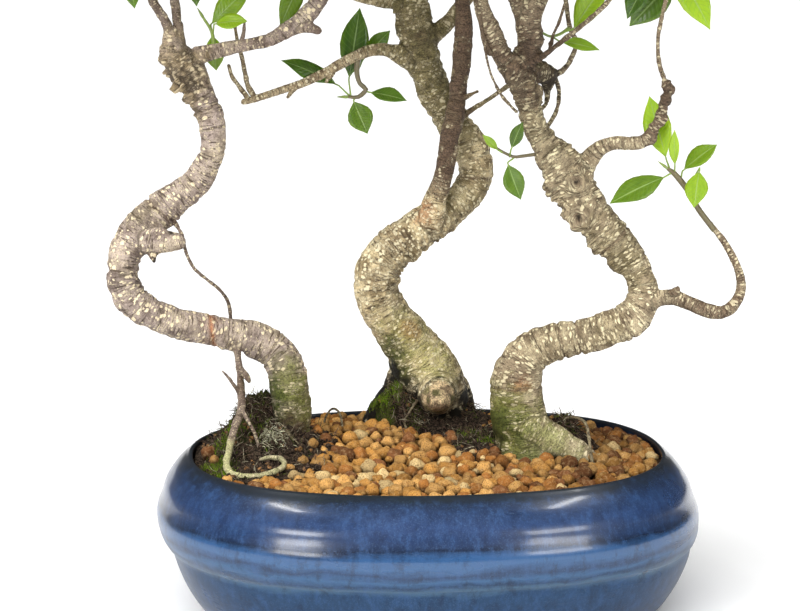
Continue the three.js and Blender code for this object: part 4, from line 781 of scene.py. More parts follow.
def marked(points, looks, radius):
    """The tint of each point, and in its last column how much of it there is."""
    marks, creases, knots, gnarls = looks
    tint = np.zeros((len(points), 4))
    tint = overlaid(tint, "brown", 0.55 * (1 - smooth_step(radius, 2.5, 8)))
    grain = rough_sum(points / 5.0, 3, 9)
    for kind, x, y, z, reach, strength in marks:
        gap = gap_from(points, x, y, z, reach)
        tint = overlaid(tint, kind, strength * (1 - smooth_step(gap + 0.35 * grain, 0.35, 1.25)))
    for crease in creases:
        if crease[0]:
            tint = overlaid(tint, crease[0], 0.8 * crease_share(points, crease))
    # Painted shade: the cracks between the lumps of gnarled bark are darkened.
    low = 1 - smooth_step(lumps_at(points), 0.0, 0.4)
    for x, y, z, reach, height in gnarls:
        gap = gap_from(points, x, y, z, reach)
        share = min(0.3 * height, 0.7)
        tint = overlaid(tint, "crack", share * low * (1 - smooth_step(gap, 0.5, 1.05)))
    for x, y, z, size, rise, depth in knots:
        gap = gap_from(points, x, y, z, size)
        if depth > 0.5:
            tint = overlaid(tint, "brown", 0.45 * np.exp(-((gap - 0.4) / 0.2) ** 2))
            tint = overlaid(tint, "dark", 0.9 * (1 - smooth_step(gap, 0.06, 0.17)))
        if rise < 0:
            face = 1 - smooth_step(gap + 0.08 * grain, 0.6, 0.72)
            tint = overlaid(tint, "cut", face)
            patches = rough(points / 3.4, 15) + 0.5 * rough(points / 1.7, 16)
            tint = overlaid(tint, "brown", 0.8 * face * smooth_step(patches, -0.05, 0.4))
            green = smooth_step(rough(points / 6.0, 17), 0.0, 0.4)
            tint = overlaid(tint, "mossy", 0.7 * face * green)
            edge = np.exp(-((gap - 0.74 + 0.1 * grain) / 0.07) ** 2)
            tint = overlaid(tint, "dark", 0.95 * edge)
    return tint


def carved(points, looks):
    """How far each point stands out for the creases and the knots."""
    _, creases, knots, gnarls = looks
    swell = np.zeros(len(points))
    for crease in creases:
        share = crease_share(points, crease)
        swell -= crease[7] * share
        wider = (*crease[:6], crease[6] * 3.2, crease[7])
        swell += 0.55 * crease[7] * (crease_share(points, wider) - share)
    for x, y, z, size, rise, depth in knots:
        gap = gap_from(points, x, y, z, size)
        swell += rise * np.exp(-((gap - 0.55) / 0.3) ** 2)
        swell += 0.5 * rise * np.exp(-(gap / 0.9) ** 2)
        swell -= depth * np.exp(-(gap / 0.17) ** 2)
        if depth > 1:
            near = 1 - smooth_step(gap, 0.7, 1.3)
            ripple = gap * size + 1.6 * rough(points / 4.5, 14)
            swell += 0.25 * near * np.cos(2 * math.pi * ripple / 3.2)
    lumps = lumps_at(points)
    for x, y, z, reach, height in gnarls:
        gap = gap_from(points, x, y, z, reach)
        swell += height * (lumps - 0.3) * (1 - smooth_step(gap, 0.5, 1.05))
    return swell


def ringed(points, flat, knots):
    """Turns the grain of the bark into rings round each knot."""
    flat = flat.copy()
    for x, y, z, size, _, depth in knots:
        gap = np.linalg.norm(points - (x, y, z), axis=1) + 1.6 * rough(points / 4.5, 14)
        share = 0.8 * (1 - smooth_step(gap, 0.6 * size, 1.5 * size))
        if depth > 1 and share.any():
            middle = np.average(flat[:, 2], weights=share)
            flat[:, 2] += share * (middle + gap - flat[:, 2])
    return flat


def build_tree(name, tree, twigs, looks, material, seed):
    """A tree: its thick limbs under one skin, its thin limbs and small growth beside them."""
    thick, thin = [], []
    for points in [*tree.values(), *twigs]:
        path = smooth_path(points, 2.0)
        mean = path[:, 3].mean()
        least = THICK_STUB if len(points) < 5 else THICK_LIMB
        kind = thick if mean > least else thin
        kind.append(path)
    points, faces = joined_limbs(thick)
    points = relaxed(points, faces, 8)
    normals = normals_of(points, faces)
    flat, radius = straightened(points, thick)
    size = np.minimum(radius, 12)
    swell = 0.085 * size * rough(points / 9.5, seed)
    swell += 0.045 * size * rough(points / 4.4, seed + 1)
    rings = rough_sum(flat * (0.05, 0.05, 0.34), 2, seed + 2)
    creases = np.abs(rough(flat * (0.045, 0.045, CREASES_PER_MM), seed + 3))
    swell += 0.03 * size * rings - 0.07 * size * (1 - smooth_step(creases, 0, 0.11)) * (radius > 4)
    swell += carved(points, looks)
    flat = ringed(points, flat, looks[2])
    points = points + normals * swell[:, None]
    shape = Shape()
    shape.add(points, faces, bark=flat, tint=marked(points, looks, radius))
    for number, path in enumerate(thin):
        mean = path[:, 3].mean()
        points, faces, flat = tube(path, 12 if mean > 1.5 else 7, 0.18, seed + number)
        lift = 0.6 * carved(points, looks) + 0.2 * mean * rough(points / 2.6, seed)
        points = points + normals_of(points, faces) * lift[:, None]
        flat = flat * (1.5, 1.5, 1.5) + (0, 0, TWIG_STRETCH * (number + 1))
        shape.add(points, faces, bark=flat, tint=marked(points, looks, np.full(len(points), mean)))
    shape.points = [front(points) for points in shape.points]
    piece_of(name, shape, material, "tree_" + name.split("_")[0])


# Shader nodes

def make(tree, kind, inputs=None, **settings):
    """A shader node; each input is a value, or a socket to link."""
    made = tree.nodes.new("ShaderNode" + kind)
    for key, value in settings.items():
        setattr(made, key, value)
    for key, value in (inputs or {}).items():
        if isinstance(value, bpy.types.NodeSocket):
            tree.links.new(value, made.inputs[key])
        else:
            made.inputs[key].default_value = value
    return made


def attribute(tree, name, output="Vector"):
    return make(tree, "Attribute", attribute_name=name).outputs[output]


def scaled(tree, vector, scale):
    return make(tree, "VectorMath", {0: vector, 1: scale}, operation="MULTIPLY").outputs[0]


def place(tree):
    """Where a point is on its own object."""
    return make(tree, "TexCoord").outputs["Object"]


def noise_at(tree, vector, scale, detail=3.0, roughness=0.55, distortion=0.0):
    """Noise at one scale, or at a scale for each way."""
    if isinstance(scale, tuple):
        vector, scale = scaled(tree, vector, scale), 1.0
    return make(tree, "TexNoise", {"Vector": vector, "Scale": scale, "Detail": detail,
                                   "Roughness": roughness, "Distortion": distortion}).outputs["Fac"]


def ranged(tree, value, low, high, to_low=0.0, to_high=1.0):
    return make(tree, "MapRange", {"Value": value, "From Min": low, "From Max": high,
                                   "To Min": to_low, "To Max": to_high},
                interpolation_type="SMOOTHSTEP").outputs["Result"]


def figure(tree, operation, first, second=0.0):
    return make(tree, "Math", {0: first, 1: second}, operation=operation).outputs[0]


def blend(tree, share, first, second, kind="MIX"):
    return make(tree, "Mix", {0: share, 6: first, 7: second}, data_type="RGBA",
                blend_type=kind).outputs[2]


def colour(red, green, blue):
    return (red, green, blue, 1.0)


def ramp(tree, value, stops):
    made = make(tree, "ValToRGB", {"Fac": value})
    elements = made.color_ramp.elements
    while len(elements) < len(stops):
        elements.new(0.5)
    for element, (position, tone) in zip(elements, stops):
        element.position = position
        element.color = tone
    return made.outputs["Color"]


def new_material(name):
    material = bpy.data.materials.new(name)
    material.use_nodes = True
    tree = material.node_tree
    tree.nodes.clear()
    surface = make(tree, "BsdfPrincipled")
    make(tree, "OutputMaterial", {"Surface": surface.outputs[0]})
    return material, tree, surface


def set_inputs(tree, node, **inputs):
    for key, value in inputs.items():
        socket = node.inputs[key.replace("_", " ")]
        if isinstance(value, bpy.types.NodeSocket):
            tree.links.new(value, socket)
        else:
            socket.default_value = value


def bumped(tree, height, strength, distance):
    return make(tree, "Bump", {"Height": height, "Strength": strength,
                               "Distance": distance}).outputs["Normal"]


def bark_material(name, dark, light, spot, spot_share, spot_size, ring_share):
    """Fig bark: mottled, wrinkled across the stem, with pale raised pores across it, and painted shade
    in its fissures and wrinkle grooves.
    """
    material, tree, surface = new_material(name)
    bark = attribute(tree, "bark")
    tint, amount = attribute(tree, "tint", "Color"), attribute(tree, "tint", "Alpha")
    mottle = noise_at(tree, bark, (0.11, 0.11, 0.13), 6.0, 0.62)
    fine = noise_at(tree, bark, (0.8, 0.8, 1.5), 4.0, 0.7)
    base = blend(tree, ranged(tree, mottle, 0.36, 0.58), dark, light)
    patch = noise_at(tree, bark, (0.05, 0.05, 0.05), 3.0, 0.6)
    base = blend(tree, ranged(tree, patch, 0.46, 0.68, 0.0, 0.3), base, spot)
    base = blend(tree, ranged(tree, patch, 0.46, 0.30, 0.0, 0.55), base, dark)
    # Painted shade: the low places of the fine noise and the wrinkle grooves, the bark's hollows in its
    # bump, take this dark colour.
    deep = colour(0.075, 0.048, 0.03)
    base = blend(tree, ranged(tree, fine, 0.50, 0.34, 0.0, 0.85), base, deep)
    wrinkle = noise_at(tree, bark, (0.09, 0.09, 0.9), 3.0, 0.6, 0.5)
    groove = ranged(tree, wrinkle, 0.34, 0.44, 1.0, 0.0)
    base = blend(tree, figure(tree, "MULTIPLY", groove, 0.85), base, deep)
    warp = make(tree, "TexNoise", {"Vector": scaled(tree, bark, (0.3, 0.3, 0.3)), "Scale": 1.0,
                                   "Detail": 2.0}).outputs["Color"]
    warped = make(tree, "VectorMath", {0: bark, 1: scaled(tree, warp, (2.6, 2.6, 2.6))},
                  operation="ADD").outputs[0]
    wide, tall = 1 / spot_size[0], 1 / spot_size[1]
    cells = make(tree, "TexVoronoi", {"Vector": scaled(tree, warped, (wide, wide, tall)),
                                      "Scale": 1.0, "Randomness": 0.9}, feature="F1")
    chance = make(tree, "SeparateColor", {"Color": cells.outputs["Color"]}).outputs[0]
    size = ranged(tree, chance, 1 - spot_share, 1.0, 0.12, 0.56)
    pore = ranged(tree, figure(tree, "SUBTRACT", size, cells.outputs["Distance"]), 0.0, 0.1)
    small = make(tree, "TexVoronoi", {"Vector": scaled(tree, warped, (2 * wide, 2 * wide, 1.8 * tall)),
                                      "Scale": 1.0, "Randomness": 1.0}, feature="F1")
    small_pore = ranged(tree, small.outputs["Distance"], 0.40, 0.26, 0.0, 0.8)
    small_pore = figure(tree, "MULTIPLY", small_pore, ranged(tree, mottle, 0.46, 0.60))
    ring_noise = noise_at(tree, bark, (0.05, 0.05, 0.8), 1.0, 0.5, 0.3)
    ring = ranged(tree, ring_noise, 0.62, 0.70, 0.0, ring_share)
    ring = figure(tree, "MULTIPLY", ring, ranged(tree, fine, 0.35, 0.55))
    pale = figure(tree, "MAXIMUM", figure(tree, "MAXIMUM", pore, small_pore), ring)
    base = blend(tree, pale, base, spot)
    grain = ranged(tree, fine, 0.3, 0.7)
    # The bark's marks, with the painted crevice shade among them, mottled by the fine grain.
    marks_and_crevice_shade = blend(tree, grain, colour(0.22, 0.22, 0.22), colour(1.6, 1.6, 1.6))
    marks_and_crevice_shade = blend(tree, 1.0, tint, marks_and_crevice_shade, "MULTIPLY")
    cover = figure(tree, "MULTIPLY", amount, ranged(tree, pale, 0.0, 1.0, 1.0, 0.6))
    cover = figure(tree, "MAXIMUM", cover, ranged(tree, amount, 0.86, 0.97))
    base = blend(tree, cover, base, marks_and_crevice_shade)
    height = figure(tree, "ADD", figure(tree, "MULTIPLY", pale, 0.6),
                    figure(tree, "MULTIPLY", fine, 0.5))
    height = figure(tree, "SUBTRACT", height, figure(tree, "MULTIPLY", groove, 0.8))
    set_inputs(tree, surface, Base_Color=base, Roughness=ranged(tree, fine, 0.2, 0.8, 0.6, 0.85),
               Specular_IOR_Level=0.35, Normal=bumped(tree, height, 0.9, 0.0013))
    return material


def leaf_material(name, dark, light):
    """A glossy fig leaf: light midrib and side veins, a duller, lighter underside."""
    material, tree, surface = new_material(name)
    blade = make(tree, "SeparateXYZ", {"Vector": attribute(tree, "blade")})
    across, along, chance = blade.outputs
    shade = make(tree, "SeparateColor", {"Color": attribute(tree, "shade", "Color")})
    young, stalk, under = shade.outputs[0], shade.outputs[1], shade.outputs[2]
    patch = noise_at(tree, attribute(tree, "blade"), 4.0, 4.0, 0.6)
    tone = blend(tree, ranged(tree, patch, 0.3, 0.7), dark, light)
    tone = blend(tree, ranged(tree, chance, 0.0, 1.0, 0.0, 0.35), tone, colour(0.055, 0.12, 0.015))
    tone = blend(tree, young, tone, blend(tree, patch, colour(0.17, 0.33, 0.008),
                                          colour(0.35, 0.48, 0.018)))
    distance = figure(tree, "ABSOLUTE", across)
    midrib = ranged(tree, distance, 0.075, 0.03)
    slant = figure(tree, "SUBTRACT", along, figure(tree, "MULTIPLY", distance, 0.16))
    waves = figure(tree, "SINE", figure(tree, "MULTIPLY", slant, 75.0))
    veins = ranged(tree, waves, 0.8, 1.0, 0.0, 0.3)
    tone = blend(tree, veins, tone, colour(0.12, 0.22, 0.05))
    tone = blend(tree, figure(tree, "MULTIPLY", midrib, 0.6), tone, colour(0.26, 0.36, 0.12))
    tone = blend(tree, figure(tree, "MULTIPLY", under, 0.6), tone, colour(0.09, 0.16, 0.035))
    tone = blend(tree, stalk, tone, blend(tree, young, colour(0.13, 0.095, 0.06),
                                          colour(0.22, 0.33, 0.06)))
    relief = figure(tree, "SUBTRACT", figure(tree, "MULTIPLY", waves, 0.25), midrib)
    set_inputs(tree, surface, Base_Color=tone,
               Roughness=ranged(tree, under, 0.0, 1.0, 0.3, 0.55),
               Normal=bumped(tree, relief, 0.35, 0.0004),
               Specular_IOR_Level=0.45, Subsurface_Weight=0.15,
               Subsurface_Radius=(0.6, 1.0, 0.2), Subsurface_Scale=0.0012)
    return material


def glaze_material():
    """Cobalt glaze in bands by height: near-black at the lip, lighter bands under the bulge, and a
    painted highlight on the ridge.
    """
    material, tree, surface = new_material("cobalt_glaze")
    where = place(tree)
    height = make(tree, "SeparateXYZ", {"Vector": where}).outputs[2]
    level = figure(tree, "MULTIPLY", height, 1 / (110 * MM))
    wave = noise_at(tree, where, (16.0, 16.0, 70.0), 5.0, 0.65)
    level = figure(tree, "ADD", level, ranged(tree, wave, 0.2, 0.8, -0.03, 0.03))
    # The narrow pale stop at 0.457 falls on the ridge round the pot and is a painted highlight.
    bands = ramp(tree, level, [
        (0.0, colour(0.014, 0.036, 0.080)), (0.25, colour(0.013, 0.035, 0.080)),
        (0.41, colour(0.014, 0.040, 0.090)), (0.457, colour(0.045, 0.095, 0.155)),
        (0.487, colour(0.010, 0.032, 0.078)), (0.523, colour(0.028, 0.082, 0.175)),
        (0.557, colour(0.010, 0.030, 0.080)), (0.595, colour(0.026, 0.080, 0.185)),
        (0.637, colour(0.020, 0.064, 0.160)), (0.675, colour(0.006, 0.012, 0.030)),
        (0.705, colour(0.011, 0.024, 0.065)), (0.80, colour(0.015, 0.034, 0.095)),
        (0.87, colour(0.012, 0.027, 0.072)), (0.925, colour(0.008, 0.014, 0.028)),
        (0.97, colour(0.009, 0.012, 0.018)),
    ])
    blotch = noise_at(tree, where, (120.0, 120.0, 50.0), 7.0, 0.8)
    bands = blend(tree, ranged(tree, blotch, 0.48, 0.66, 0.0, 0.5), bands,
                  colour(0.030, 0.075, 0.185))
    bands = blend(tree, ranged(tree, blotch, 0.50, 0.36, 0.0, 0.5), bands,
                  colour(0.008, 0.014, 0.034))
    speck = noise_at(tree, where, 1100.0, 2.0, 0.7)
    bands = blend(tree, ranged(tree, speck, 0.52, 0.72, 0.0, 0.35), bands,
                  colour(0.06, 0.11, 0.20))
    bands = blend(tree, ranged(tree, level, 0.89, 0.95), bands, colour(0.010, 0.014, 0.020))
    dull = noise_at(tree, where, (10.0, 10.0, 40.0), 3.0)
    ripple = noise_at(tree, where, (40.0, 40.0, 90.0), 2.0)
    set_inputs(tree, surface, Base_Color=bands, Roughness=ranged(tree, dull, 0.3, 0.7, 0.24, 0.4),
               Specular_IOR_Level=ranged(tree, level, 0.40, 0.67, 0.12, 0.5),
               Coat_Weight=ranged(tree, level, 0.44, 0.69, 0.12, 0.6),
               Normal=bumped(tree, figure(tree, "ADD", ripple, figure(tree, "MULTIPLY", speck, 0.15)),
                             0.15, 0.0008),
               Coat_IOR=1.4, Coat_Roughness=0.12)
    return material


def grain_material():
    """Fired clay grains: dusty ochre, each its own shade, pitted, with painted shade on their
    undersides.
    """
    material, tree, surface = new_material("fired_clay")
    own = attribute(tree, "shade", "Color")
    where = place(tree)
    dust = noise_at(tree, where, 420.0, 5.0, 0.7)
    pits = noise_at(tree, where, 1300.0, 3.0, 0.65)
    tone = blend(tree, ranged(tree, dust, 0.45, 0.75, 0.0, 0.35), own, colour(0.80, 0.55, 0.27))
    tone = blend(tree, ranged(tree, pits, 0.50, 0.34, 0.0, 0.8), tone, colour(0.12, 0.045, 0.015))
    set_inputs(tree, surface, Specular_IOR_Level=0.2, Base_Color=tone, Roughness=0.92,
               Normal=bumped(tree, figure(tree, "ADD", dust, pits), 1.0, 0.0012))
    return material


def peat_material():
    """Dark peat with crumbs, pale root hairs and patches of moss, by each point's shade."""
    material, tree, surface = new_material("peat_and_moss")
    own = attribute(tree, "shade", "Color")
    where = place(tree)
    crumbs = noise_at(tree, where, 700.0, 5.0, 0.75)
    clods = noise_at(tree, where, 160.0, 4.0, 0.65)
    tone = blend(tree, ranged(tree, crumbs, 0.4, 0.68), own, colour(0.004, 0.003, 0.002),
                 "MULTIPLY")
    tone = blend(tree, ranged(tree, clods, 0.55, 0.8, 0.0, 0.5), tone, own)
    flow = noise_at(tree, where, 330.0, 2.0, 0.5, 1.6)
    off_line = figure(tree, "ABSOLUTE", figure(tree, "SUBTRACT", flow, 0.5))
    thread = ranged(tree, off_line, 0.06, 0.02)
    thread = figure(tree, "MULTIPLY", thread, ranged(tree, crumbs, 0.42, 0.55, 0.0, 0.6))
    tone = blend(tree, thread, tone, colour(0.18, 0.13, 0.085))
    fleck = noise_at(tree, where, 750.0, 3.0, 0.65)
    tone = blend(tree, ranged(tree, fleck, 0.55, 0.63, 0.0, 0.6), tone, colour(0.13, 0.085, 0.062))
    set_inputs(tree, surface, Specular_IOR_Level=0.15, Base_Color=tone, Roughness=0.95,
               Normal=bumped(tree, figure(tree, "ADD", crumbs, clods), 1.0, 0.0018))
    return material


def soil_material():
    material, tree, surface = new_material("moist_soil")
    where = place(tree)
    clods = noise_at(tree, where, 240.0, 6.0, 0.7)
    tone = blend(tree, ranged(tree, clods, 0.35, 0.7), colour(0.02, 0.012, 0.008),
                 colour(0.11, 0.06, 0.03))
    set_inputs(tree, surface, Base_Color=tone, Roughness=0.95,
               Normal=bumped(tree, clods, 0.8, 0.0015))
    return material


def plastic_material():
    material, tree, surface = new_material("black_plastic")
    where = place(tree)
    grain = noise_at(tree, where, 900.0, 3.0)
    tone = blend(tree, ranged(tree, grain, 0.3, 0.7), colour(0.012, 0.012, 0.013),
                 colour(0.03, 0.03, 0.032))
    set_inputs(tree, surface, Base_Color=tone, Roughness=ranged(tree, grain, 0.3, 0.7, 0.45, 0.6),
               Normal=bumped(tree, grain, 0.2, 0.0002))
    return material


def floor_material():
    material, tree, surface = new_material("pale_floor")
    where = place(tree)
    cloud = noise_at(tree, where, 0.8, 3.0)
    tone = blend(tree, cloud, colour(0.94, 0.94, 0.94), colour(0.96, 0.96, 0.96))
    set_inputs(tree, surface, Specular_IOR_Level=0.1, Base_Color=tone, Roughness=0.8)
    return material


# Leaves

LEAF_OUTLINE = [(0, 0.03), (0.06, 0.2), (0.16, 0.52), (0.3, 0.85), (0.45, 1.0), (0.6, 0.95),
                (0.73, 0.74), (0.84, 0.46), (0.92, 0.22), (0.97, 0.09), (1, 0.015)]
LEAF_ACROSS = np.array([-1, -0.66, -0.33, 0, 0.33, 0.66, 1])
CROWN_LEAF_ACROSS = np.array([-1, -0.5, 0, 0.5, 1])


def blade_faces(rows, columns):
    """The faces of a blade's upper side, its lower side and the edge between them."""
    upper = np.arange(rows * columns).reshape(rows, columns)
    lower = upper + rows * columns
    faces = []
    for row in range(rows - 1):
        for column in range(columns - 1):
            a, b = upper[row, column], upper[row, column + 1]
            c, d = upper[row + 1, column + 1], upper[row + 1, column]
            faces.append((a, d, c, b))
            faces.append(tuple(lower[row + i, column + j]
                               for i, j in ((0, 0), (0, 1), (1, 1), (1, 0))))
    for row in range(rows - 1):
        faces.append((upper[row, 0], lower[row, 0], lower[row + 1, 0], upper[row + 1, 0]))
        faces.append((upper[row, -1], upper[row + 1, -1], lower[row + 1, -1], lower[row, -1]))
    for column in range(columns - 1):
        faces.append((upper[0, column], upper[0, column + 1], lower[0, column + 1],
                      lower[0, column]))
        faces.append((upper[-1, column + 1], upper[-1, column], lower[-1, column],
                      lower[-1, column + 1]))
    return faces


def add_leaf(shape, stalk_start, base, tip, width, face, young, chance, across_steps):
    """One leaf: its stalk, and a thin closed blade that bends, folds and waves a little."""
    run = tip - base
    length = np.linalg.norm(run)
    ahead = run / length
    side = unit(np.cross(ahead, face))
    face = np.cross(side, ahead)
    share, wide = np.array(LEAF_OUTLINE).T
    half = wide * width / 2
    arch = 0.05 * length * 4 * share * (1 - share)
    wave = 0.03 * length * np.sin(7 * share + 6.3 * chance)
    rows = len(share)
    columns = len(across_steps)
    across = across_steps[None, :] * half[:, None]
    rise = (arch[:, None] + 0.22 * np.abs(across) - 0.012 * across ** 2
            + wave[:, None] * across_steps[None, :] ** 2 * half[:, None] / (width / 2))
    thick = LEAF_THICKNESS * (1 - across_steps[None, :] ** 2) * np.sqrt(half / half.max())[:, None]
    middle = base + ahead * (share * length)[:, None]
    top = (middle[:, None, :] + side * across[..., None] + face * rise[..., None])
    bottom = top - face * (thick + EDGE_THICKNESS)[..., None]
    blade = np.stack([np.broadcast_to(across_steps, (rows, columns)),
                      np.repeat(share[:, None], columns, axis=1),
                      np.full((rows, columns), chance)], axis=-1).reshape(-1, 3)
    points = np.vstack([top.reshape(-1, 3), bottom.reshape(-1, 3)])
    shade = one_shade((young, 0, 0), len(points))
    shade[rows * columns:, 2] = 1
    shape.add(points, blade_faces(rows, columns), blade=np.vstack([blade, blade]), shade=shade)
    bend = base - ahead * 0.16 * np.linalg.norm(base - stalk_start)
    stalk = smooth_path([(*stalk_start, 0.75), (*((stalk_start + bend) / 2), 0.6), (*bend, 0.58),
                         (*(base + ahead * 1.5), 0.5)], 3.5)
    add_wood(shape, stalk, 5, 0.85)


def add_wood(shape, path, sides, stalk):
    """A stalk or twig beside the blades: stalk is how far it is green."""
    points, faces, flat = tube(path, sides)
    blade = np.column_stack([np.full(len(points), 0.6), flat[:, 2] / 40, np.full(len(points), 0.5)])
    shape.add(points, faces, blade=blade, shade=one_shade((stalk, 1, 0), len(points)))


def welded(node):
    """A node's points, each once, in millimetres, and its faces."""
    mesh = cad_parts[node].data
    points = np.zeros(len(mesh.vertices) * 3)
    mesh.vertices.foreach_get("co", points)
    points = points.reshape(-1, 3) / MM
    _, first, number = np.unique(np.round(points, 3), axis=0, return_index=True,
                                 return_inverse=True)
    number = number.ravel()
    faces = [tuple(number[i] for i in face.vertices) for face in mesh.polygons]
    return points[first], faces


def wide_pair(points, ring):
    """Of a ring of three, the two edges that lie farthest apart, then the keel."""
    pairs = [(a, b) for i, a in enumerate(ring) for b in ring[i + 1:]]
    a, b = max(pairs, key=lambda pair: np.linalg.norm(points[pair[0]] - points[pair[1]]))
    keel = next(i for i in ring if i not in (a, b))
    return a, b, keel


def spray_of(node):
    """The leaves and the twig of a solid spray, read from how its faces join."""
    points, faces = welded(node)
    around = [set() for _ in points]
    count = np.zeros(len(points), int)
    for face in faces:
        for i in face:
            around[i].update(face)
            count[i] += 1
    for i, near in enumerate(around):
        near.discard(i)
    taken = set()
    leaves = []
    for tip in np.flatnonzero(count == 3):
        known = {tip}
        rings = []
        edge = {tip}
        for _ in range(4):
            edge = set().union(*(around[i] for i in edge)) - known
            if len(edge) != 3:
                break
            known |= edge
            rings.append(sorted(edge))
        if len(rings) < 3:
            continue
        taken |= {tip, *rings[0], *rings[1], *rings[2]}
        a, b, keel = wide_pair(points, rings[0])
        base = points[rings[2]].mean(axis=0)
        foot = points[rings[3]].mean(axis=0) if len(rings) > 3 else base - (0, 0, 3)
        face = (points[a] + points[b]) / 2 - points[keel]
        width = np.linalg.norm(points[a] - points[b]) / RING_SHARE
        leaves.append((foot, base, points[tip], width, face))
    wood = [i for i in range(len(points)) if i not in taken]
    return leaves, twig_of(points[wood])


def twig_of(points):
    """A twig's rings, told apart by the gaps between them, thick end first: middles and radii."""
    spread = points - points.mean(axis=0)
    axis = np.linalg.svd(spread, full_matrices=False)[2][0]
    along = spread @ axis
    order = np.argsort(along)
    breaks = np.flatnonzero(np.diff(along[order]) > RING_GAP) + 1
    rings = []
    for group in np.split(order, breaks):
        middle = points[group].mean(axis=0)
        radius = np.linalg.norm(points[group] - middle, axis=1).mean()
        rings.append((*middle, radius))
    if rings[0][3] < rings[-1][3]:
        rings.reverse()
    return np.array(rings)


def spray_mesh(name, twig, leaves, material, youth):
    """One leafy twig: its wood, its leaves and the closed bud at its end."""
    shape = Shape()
    steps = CROWN_LEAF_ACROSS if "_leafy_twig_" in name else LEAF_ACROSS
    add_wood(shape, smooth_path(twig, 3.0), 8, 0.7 if "shoot" in name else 0.08)
    for number, (foot, base, tip, width, face) in enumerate(leaves):
        young = youth[number % len(youth)] + 0.06 * rng.standard_normal()
        add_leaf(shape, foot, base, tip, width, face, np.clip(young, 0, 1), rng.random(), steps)
    end, way = twig[-1, :3], unit(twig[-1, :3] - twig[-2, :3])
    swelling = ((0, 0.8), (2, 1.1), (4.5, 0.9), (8, 0.25))
    bud = [(*(end + way * step), size) for step, size in swelling]
    add_wood(shape, smooth_path(bud, 1.5), 6, 0.7)
    shape.points = [np.clip(points * MM, *cad_box) for points in shape.points]
    piece_of(name, shape, material, name.replace("_leaves", ""))


def companions(twig, leaves):
    """More leaves between a ruled twig's own, turned round it, within the planting's box."""
    low, high = np.array(cad_box[0]) / MM, np.array(cad_box[1]) / MM
    more = []
    for number, (foot, base, tip, width, face) in enumerate(leaves):
        nearest = np.argmin(np.linalg.norm(twig[:, :3] - foot, axis=1))
        before, after = twig[max(nearest - 1, 0), :3], twig[min(nearest + 1, len(twig) - 1), :3]
        axis = unit(after - before)
        middle = twig[nearest, :3]
        for turn in (75, -70, 160) if number % 2 else (95, -60):
            angle = math.radians(turn + rng.uniform(-15, 15))
            size = rng.uniform(0.62, 0.95)
            spin = spun(axis, angle)
            slide = axis * rng.uniform(-3, 3)
            new_foot = middle + spin @ (foot - middle) + slide
            new_base = middle + spin @ (base - middle) + slide
            way = unit(spin @ (tip - base) + (0, 0, rng.uniform(-6, 14)))
            new_tip = new_base + way * np.linalg.norm(tip - base) * size
            up = unit(spin @ unit(face) + (0, 0, 1.6))
            ends = np.array([new_base, new_tip])
            inside = (ends > low + 4).all() and (ends < high - 4).all()
            if inside and ends[:, 2].min() > LEAVES_ABOVE:
                more.append((new_foot, new_base, new_tip, width * size, up))
    return more


def spun(axis, angle):
    """The matrix that turns by an angle about an axis."""
    x, y, z = axis
    cross = np.array([[0, -z, y], [z, 0, -x], [-y, x, 0]])
    return np.eye(3) + math.sin(angle) * cross + (1 - math.cos(angle)) * cross @ cross


# How young each leaf of a twig is, from deep green to yellow green.
YOUTH = {
    "stem_twig": (0.18, 0.05, 0.7),
    "green_shoot": (0.5, 0.65, 0.55),
    "young_shoot": (0.85, 0.4),
    "low_right_twig": (0.2, 1.0, 1.0, 0.45, 0.5),
    "high_right_twig": (0.05, 0.15, 0.95, 0.2),
    "gold_twig": (0.35, 0.6, 0.2),
}


def build_leaves(leaf, young_leaf):
    for name, spray in PLACED_TWIGS.items():
        twig = np.array(spray["twig"], float)
        twig[:, :3] = front(twig[:, :3]) / MM
        leaves = []
        for foot, base, tip, width, looks_to in spray["leaves"]:
            foot, base, tip, looks_to = (front(point) / MM for point in (foot, base, tip, looks_to))
            leaves.append((foot, base, tip, width, looks_to - base))
        light = name in ("stem_twig", "green_shoot", "young_shoot")
        spray_mesh(name + "_leaves", twig, leaves, young_leaf if light else leaf,
                   YOUTH.get(name, (0.08, 0.2)))
    for name in sorted(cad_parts):
        if "_leafy_twig_" in name:
            leaves, twig = spray_of(name)
            youth = (0.75, 0.45, 0.6) if rng.random() < 0.14 else (0.05, 0.15, 0.1, 0.3)
            spray_mesh(name + "_leaves", twig, leaves + companions(twig, leaves), leaf,
                       youth)


# Pot

# The wall from under the floor, up the outside, over the lip and down the inside: height,
# and how far it stands out from the opening's edge.
WALL = [
    (8, -14), (8, -4), (8.6, -1), (10.5, 1.2), (16, 5), (24, 9.6), (32, 13.2), (40, 16),
    (46.6, 17.7), (48.6, 18.5), (50, 19.9), (51.6, 20.9), (54, 22.1), (58, 23.4), (64, 24.2),
    (69, 24.2), (72, 23.5), (75, 22.3), (78, 21.1), (81, 20.1), (84, 19.2), (88, 17.4),
    (94, 13.3), (97.5, 10.3), (100.6, 7.1), (103, 4.2), (104.6, 2.4), (105, 1.4), (104.8, 0.7),
    (104, 0.3), (101, 0.6), (95, 3.5), (88, 8), (76, 11), (60, 13), (42, 8), (26, 0), (19, -5),
    (16.6, -8), (16, -12),
]
UNDERSIDE, FLOOR_TOP = 8, 16
# A foot from its top down: height, and how far it draws in.
FOOT_STEPS = ((9.5, 0), (3, 0.6), (1, 1.2), (0.2, 2.2), (0, 3.2))


def oval(z, offset):
    angles = 2 * math.pi * np.arange(POT_SIDES) / POT_SIDES
    cosine, sine = np.cos(angles), np.sin(angles)
    power = 2 / OVAL_POWER
    return np.column_stack([
        (HALF_LENGTH + offset) * np.sign(cosine) * np.abs(cosine) ** power,
        (HALF_DEPTH + offset) * np.sign(sine) * np.abs(sine) ** power,
        np.full(POT_SIDES, z),
    ])


